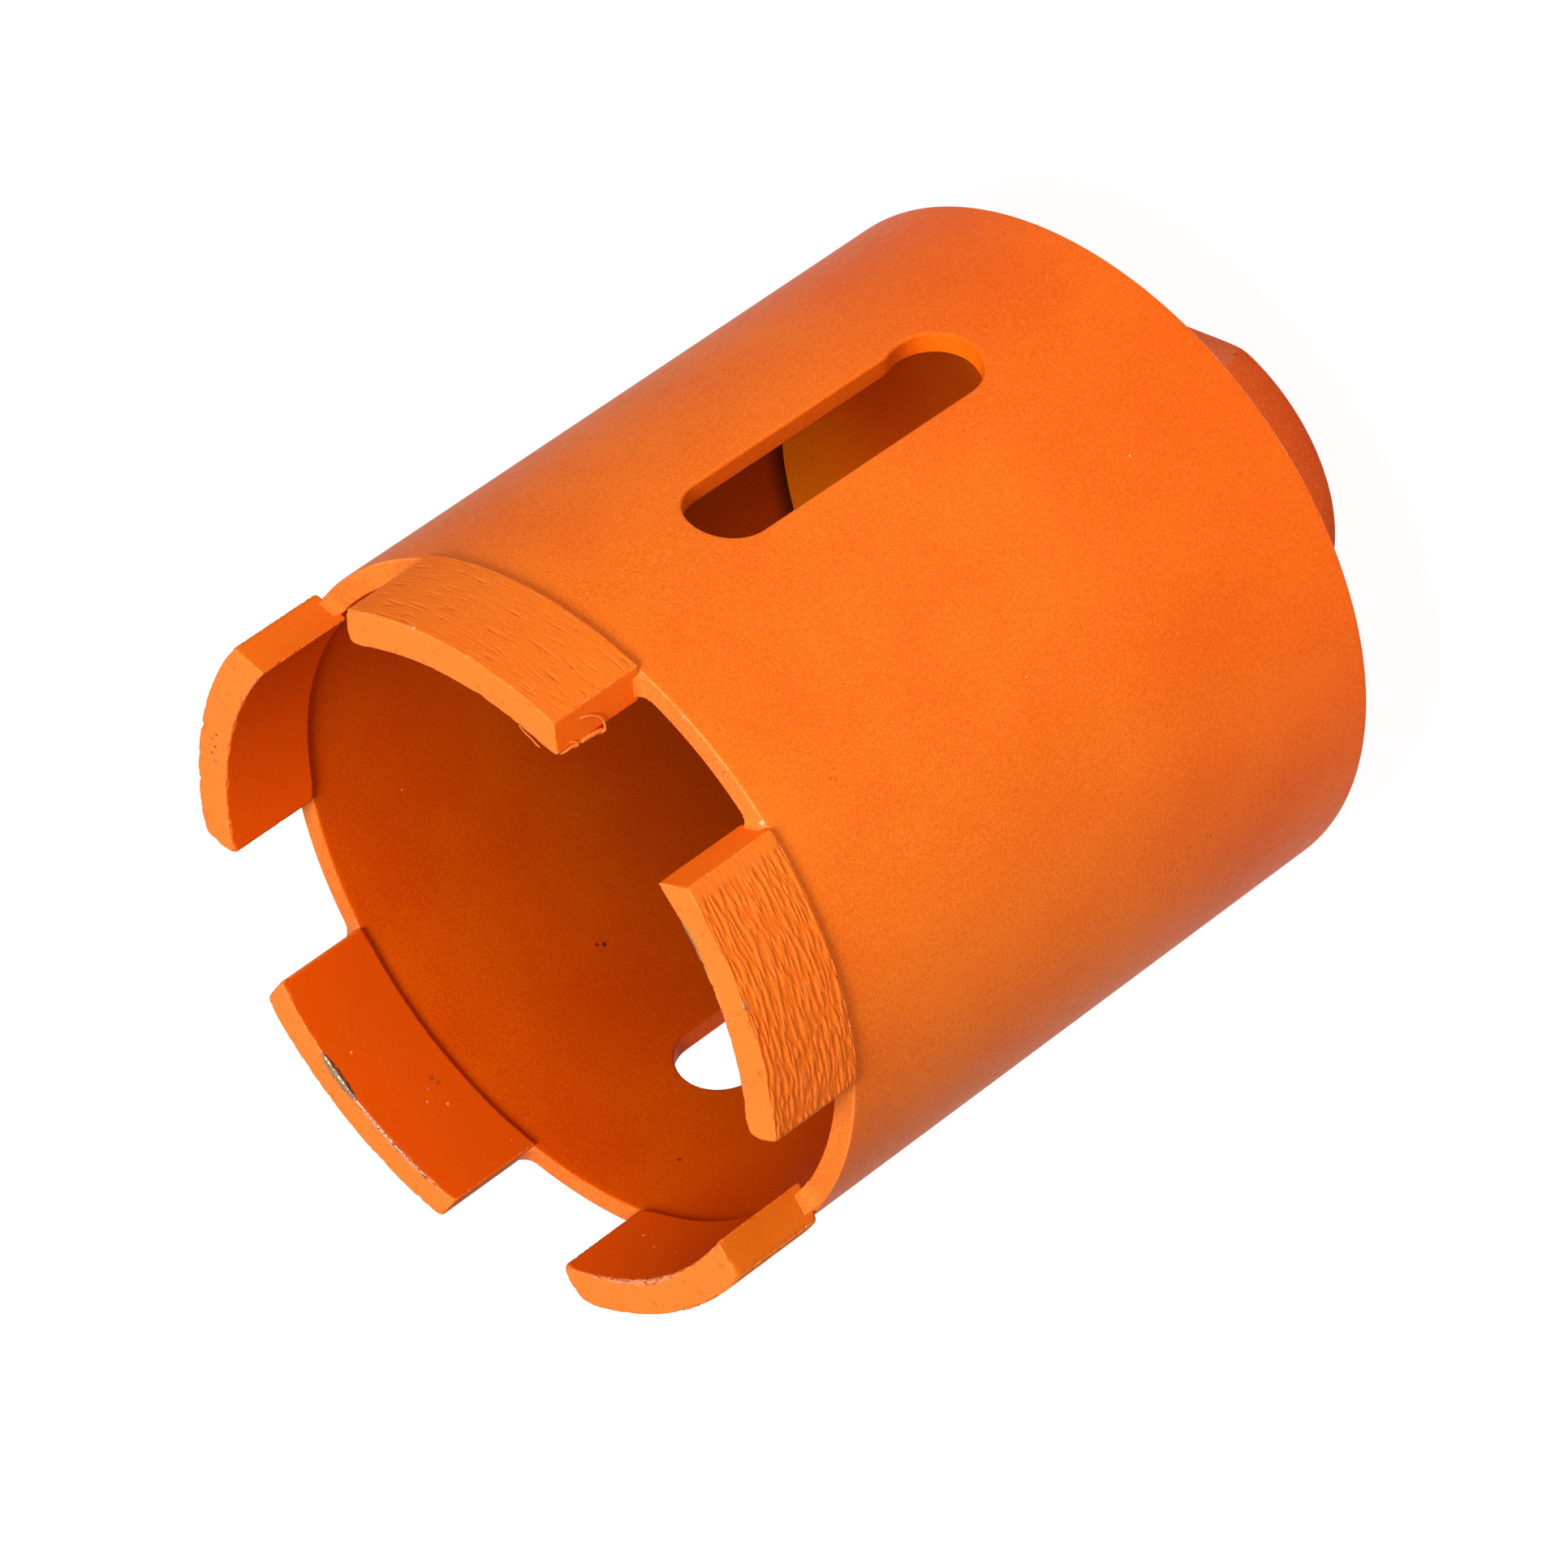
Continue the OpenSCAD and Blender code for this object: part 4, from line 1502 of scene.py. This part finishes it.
@built_once("node_groups", "Braze joint")
def braze_tree(name):
    """Geometry tree of the braze: a film under a segment and a hollow fillet at each end."""
    n, inputs = geometry_tree(name, {
        "Length": ("length", 24 * MM), "Inner Radius": ("length", 31 * MM),
        "Outer Radius": ("length", 33 * MM), "Rim": ("length", 0.0), "Film": ("length", 0.1 * MM),
        "Leg Ahead": ("length", 1.2 * MM), "Leg Behind": ("length", 1.2 * MM),
        "Turn": ("float", 0.0), "Seed": ("float", 0.0)})
    # The film takes up the grid lines nearest the middle, the fillets take up the rest
    lines = 40
    film_share = 8 / lines
    block = n.first("GeometryNodeMeshCube", {"Size": (2.0, 2.0, 2.0), "Vertices X": 20,
                                             "Vertices Y": 2 * lines + 1, "Vertices Z": 8})
    u, v, w = n.split(n.first("GeometryNodeInputPosition"))
    half = inputs["Length"] * 0.5
    reach = abs(v)
    in_fillet = reach > film_share - 0.5 / lines
    step = (reach - film_share) / (1 - film_share)
    leg = (inputs["Leg Ahead"] - inputs["Leg Behind"]) * (v > 0.0) + inputs["Leg Behind"]
    out = n.most(step, 0.0) * leg
    under = reach / film_share * (half - 0.02 * MM)
    y = ((half + out) * in_fillet + under * (1.0 - in_fillet)) * n.math("SIGN", v)

    # The fillet's hollow is an arc about a centre out from the segment's end and up
    centre = leg * FILLET_CENTRE
    bow = n.length(centre, leg * FILLET_PAST)
    hollow = centre - n.root(n.most(bow ** 2.0 - (centre - out) ** 2.0, 0.0))
    crown = (1.0 - abs(u) ** 16.0) ** 0.5
    lump = n.noise(n.join(u, y), 600.0, detail=1.0, seed=inputs["Seed"])
    fillet = hollow * crown * (lump * 0.24 + 0.88)
    top = n.most(fillet, 0.0) * in_fillet + inputs["Film"] * (1.0 - in_fillet)
    z = (w * 0.5 + 0.5) * top + inputs["Rim"]
    wide = (inputs["Outer Radius"] - inputs["Inner Radius"]) * 0.5
    radius = u * wide + (inputs["Outer Radius"] + inputs["Inner Radius"]) * 0.5
    moved = n.first("GeometryNodeSetPosition", {
        "Geometry": block, "Position": laid_round(n, radius, y, z, inputs["Turn"])})
    close_tree(n, moved, inputs["Material"])
    return n.tree


# Legs of the fillets ahead of and behind a segment, in millimetres, where they differ from the
# usual one
BRAZE_LEGS = {3: (0.7, 1.0), 4: (1.1, 0.9), 5: (1.2, 0.9)}


class BIT_OT_braze(bpy.types.Operator):
    """Builds the braze under each segment"""

    bl_idname = "core_bit.braze"
    bl_label = "Build Braze"

    def execute(self, context):
        sizes = context.scene.bit_segments
        tube = context.scene.bit_tube
        for number in range(1, SEGMENT_COUNT + 1):
            name = f"braze_fillets_{number}"
            legs = [leg * MM for leg in BRAZE_LEGS.get(number, ())] or [sizes.braze_leg] * 2
            made = grow(name, braze_tree(), {
                "Length": sizes.span, "Inner Radius": tube.radius - tube.wall,
                "Outer Radius": tube.radius - tube.edge / 2, "Rim": TUBE_HIGH.z,
                "Film": sizes.braze_film, "Leg Ahead": legs[0], "Leg Behind": legs[1],
                "Turn": math.radians(segment_angle(number)), "Seed": float(number),
                "Material": braze_paint()})
            add_piece(name, made, "braze_paint", f"braze_{number}")
        return {"FINISHED"}


# Strands of paint

# Loose strands at the end of one segment: their thickness in millimetres, the share of it that
# is left between their lumps, and their points, which lie out from the axis, along the segment
# and in height, in millimetres
STRAND_SEGMENT = 4
STRANDS = {
    "curl": (0.2, 0.75, ((30.62, -12.2, 88.2), (30.55, -12.32, 87.55), (30.2, -12.4, 86.85),
                         (29.65, -12.45, 86.2), (29.1, -12.45, 85.9), (28.5, -12.42, 85.73),
                         (28.0, -12.35, 85.75), (27.85, -12.25, 86.1))),
    "hook": (0.17, 0.75, ((28.97, -12.24, 89.5), (28.83, -12.32, 89.15), (28.55, -12.36, 88.88),
                          (28.32, -12.34, 88.84), (28.27, -12.26, 89.05), (28.38, -12.22, 89.35),
                          (28.45, -12.2, 89.7))),
    "fringe": (0.44, 0.15, ((27.8, -12.1, 85.5), (28.05, -12.15, 86.15), (28.2, -12.18, 86.8),
                            (28.28, -12.18, 87.5), (28.34, -12.18, 88.3))),
    "thread": (0.22, 0.3, ((28.36, -12.2, 88.3), (28.42, -12.2, 89.0), (28.4, -12.2, 89.6),
                           (28.34, -12.15, 90.1), (28.28, -12.0, 90.5))),
    "flake": (0.15, 0.4, ((29.45, -7.75, 90.9), (28.9, -8.1, 90.8), (28.59, -8.65, 90.75),
                          (28.36, -8.98, 90.7), (28.1, -9.38, 90.7), (27.92, -9.75, 90.65))),
}


@built_once("node_groups", "Paint strand")
def strand_tree(name):
    """Geometry tree that turns a line of points into a thin, uneven strand."""
    n, inputs = geometry_tree(name, {
        "Geometry": ("mesh", None), "Thickness": ("length", 0.12 * MM), "Steps": ("count", 60),
        "Neck": ("float", 0.5), "Seed": ("float", 0.0)})
    curve = n.first("GeometryNodeMeshToCurve", {"Mesh": inputs["Geometry"]})
    curve = n.first("GeometryNodeCurveSplineType", {"Curve": curve}, spline_type="CATMULL_ROM")
    curve = n.first("GeometryNodeResampleCurve", {"Curve": curve, "Count": inputs["Steps"]})
    lump = n.noise(n.first("GeometryNodeInputPosition"), 3600.0, detail=3.0, seed=inputs["Seed"])
    lump = n.fade(lump, 0.35, 0.65, 1.0, inputs["Neck"])
    taper = n.fade(n.add("GeometryNodeSplineParameter")["Factor"], 1.0, 0.8, 0.45, 1.0)
    curve = n.first("GeometryNodeSetCurveRadius", {"Curve": curve, "Radius": lump * taper})
    ring = n.first("GeometryNodeCurvePrimitiveCircle", {"Resolution": 10,
                                                        "Radius": inputs["Thickness"] * 0.5})
    strand = n.first("GeometryNodeCurveToMesh", {"Curve": curve, "Profile Curve": ring,
                                                 "Fill Caps": True})
    close_tree(n, strand, inputs["Material"])
    return n.tree


class BIT_OT_strands(bpy.types.Operator):
    """Builds the loose strands of paint at the end of one segment"""

    bl_idname = "core_bit.strands"
    bl_label = "Build Strands"

    def execute(self, context):
        for title, (thickness, neck, points) in STRANDS.items():
            name = "paint_" + title
            line = bpy.data.meshes.new(title)
            line.from_pydata([on_segment(STRAND_SEGMENT, *point) for point in points],
                             [(i, i + 1) for i in range(len(points) - 1)], [])
            made = grow(name, strand_tree(), {
                "Thickness": thickness * MM, "Neck": neck, "Seed": float(len(points)),
                "Material": strand_paint()}, line)
            add_piece(name, made, "segment_paint")
        return {"FINISHED"}


# Camera, floor and lamps

# The camera of the photograph: the point it aims at, its distance, direction and roll
CAMERA_AIM = Vector((-1.784, 1.289, 55.946)) * MM
CAMERA_DISTANCE = 836.0 * MM
CAMERA_AZIMUTH = -125.86
CAMERA_ELEVATION = 32.70
CAMERA_ROLL = 125.28
CAMERA_LENS = 223.1

# The lamps are panels, a small one high over the cutting end and a wide one low in front of the
# hub: direction and elevation in degrees, width and height in metres
KEY_LAMP = {"azimuth": -118.0, "elevation": 60.0, "width": 0.35, "height": 0.35}
FILL_LAMP = {"azimuth": -118.0, "elevation": 8.0, "width": 0.9, "height": 0.26}
LAMP_DISTANCE = 1.0
WHITE = (1.0, 1.0, 1.0, 1.0)


def direction(azimuth, elevation):
    """Unit vector towards a direction given in degrees."""
    a, e = math.radians(azimuth), math.radians(elevation)
    return Vector((math.cos(a) * math.cos(e), math.sin(a) * math.cos(e), math.sin(e)))


def seen_by_eye(n):
    """Is 1 for what the camera sees, also in a reflection or through glass."""
    ray = n.add("ShaderNodeLightPath")
    seen = ray["Is Camera Ray"] + (ray["Is Glossy Ray"] + ray["Is Transmission Ray"])
    return n.least(seen, 1.0)


class BIT_OT_stage(bpy.types.Operator):
    """Sets up the camera, the floor, the lamps and the surroundings"""

    bl_idname = "core_bit.stage"
    bl_label = "Build Stage"

    def execute(self, context):
        sizes = context.scene.bit_stage
        self.camera(context.scene)
        self.floor(context.scene, sizes.floor_size)
        self.lamp(context.scene, "key", sizes.key_power, **KEY_LAMP)
        self.lamp(context.scene, "fill", sizes.fill_power, **FILL_LAMP)
        self.world(context.scene, sizes.ambient)
        context.scene.view_settings.view_transform = "Standard"
        return {"FINISHED"}

    def camera(self, scene):
        """The camera of the photograph."""
        data = bpy.data.cameras.new("photo_view")
        data.lens = CAMERA_LENS
        data.sensor_width = 36.0
        data.clip_start = 0.01
        data.clip_end = 50.0
        camera = bpy.data.objects.new("photo_view", data)
        back = direction(CAMERA_AZIMUTH, CAMERA_ELEVATION)
        aim = back.to_track_quat("Z", "Y").to_matrix()
        roll = Matrix.Rotation(-math.radians(CAMERA_ROLL), 3, "Z")
        camera.matrix_world = (Matrix.Translation(CAMERA_AIM + back * CAMERA_DISTANCE)
                               @ (aim @ roll).to_4x4())
        scene.collection.objects.link(camera)
        scene.camera = camera

    def floor(self, scene, size):
        """A floor that looks white and throws back less light farther from the bit."""
        material, n, place = new_material("Pale floor")
        level = n.fade(n.vector("LENGTH", place), 60 * MM, 150 * MM, 0.85, 0.3)
        matt = n.first("ShaderNodeBsdfDiffuse", {"Color": level})
        pale = n.first("ShaderNodeBsdfDiffuse", {"Color": (0.08, 0.08, 0.08, 1.0)})
        glow = n.first("ShaderNodeEmission", {"Color": WHITE, "Strength": 0.96})
        seen = n.first("ShaderNodeAddShader", {0: pale, 1: glow})
        n.put_out("Surface", n.first("ShaderNodeMixShader", {0: seen_by_eye(n), 1: matt, 2: seen}))
        half = size / 2
        mesh = bpy.data.meshes.new("floor")
        mesh.from_pydata([(-half, -half, 0), (half, -half, 0), (half, half, 0), (-half, half, 0)],
                         [], [(0, 1, 2, 3)])
        mesh.materials.append(material)
        floor = bpy.data.objects.new("floor", mesh)
        scene.collection.objects.link(floor)

    def lamp(self, scene, name, power, azimuth, elevation, width, height):
        """A panel of light that faces the point the camera aims at."""
        data = bpy.data.lights.new(name, "AREA")
        data.shape = "RECTANGLE"
        data.size = width
        data.size_y = height
        data.energy = power
        lamp = bpy.data.objects.new(name, data)
        back = direction(azimuth, elevation)
        lamp.matrix_world = (Matrix.Translation(CAMERA_AIM + back * LAMP_DISTANCE)
                             @ back.to_track_quat("Z", "Y").to_matrix().to_4x4())
        scene.collection.objects.link(lamp)

    def world(self, scene, ambient):
        """White surroundings, whose light on the bit is dimmer than they look."""
        world = bpy.data.worlds.new("White surroundings")
        world.use_nodes = True
        world.node_tree.nodes.clear()
        n = Nodes(world.node_tree, "ShaderNodeOutputWorld")
        n.last.is_active_output = True
        strength = seen_by_eye(n) * (1.0 - ambient) + ambient
        n.put_out("Surface", n.first("ShaderNodeBackground", {"Color": WHITE,
                                                              "Strength": strength}))
        scene.world = world


class BIT_PT_panel(bpy.types.Panel):
    """Lists the pieces, their sizes and their colours"""

    bl_idname = "BIT_PT_panel"
    bl_label = "Diamond Core Bit"
    bl_space_type = "VIEW_3D"
    bl_region_type = "UI"
    bl_category = "Core Bit"

    def draw(self, context):
        for title, kind in GROUPS.items():
            box = self.layout.box()
            box.label(text=kind.__doc__)
            for name in kind.__annotations__:
                box.prop(getattr(context.scene, title), name)
        for operator in OPERATORS:
            self.layout.operator(operator.bl_idname)


GROUPS = {"bit_tube": TubeSizes, "bit_hub": HubSizes, "bit_segments": SegmentSizes,
          "bit_finish": Finish, "bit_stage": Stage}
OPERATORS = (BIT_OT_tube, BIT_OT_plate, BIT_OT_hub, BIT_OT_welds, BIT_OT_segments, BIT_OT_braze,
             BIT_OT_strands, BIT_OT_stage)


def register():
    """Makes the panel, the operators and the sizes known to Blender."""
    for kind in (*GROUPS.values(), *OPERATORS, BIT_PT_panel):
        bpy.utils.register_class(kind)
    for name, kind in GROUPS.items():
        setattr(bpy.types.Scene, name, PointerProperty(type=kind))


def unregister():
    """Takes all of it out again."""
    for name in GROUPS:
        delattr(bpy.types.Scene, name)
    for kind in (BIT_PT_panel, *reversed(OPERATORS), *reversed(GROUPS.values())):
        bpy.utils.unregister_class(kind)


def main():
    """Builds the bit and its stage."""
    register()
    bpy.ops.core_bit.tube()
    bpy.ops.core_bit.plate()
    bpy.ops.core_bit.hub()
    bpy.ops.core_bit.welds()
    bpy.ops.core_bit.segments()
    bpy.ops.core_bit.braze()
    bpy.ops.core_bit.strands()
    bpy.ops.core_bit.stage()


if __name__ == "__main__":
    main()
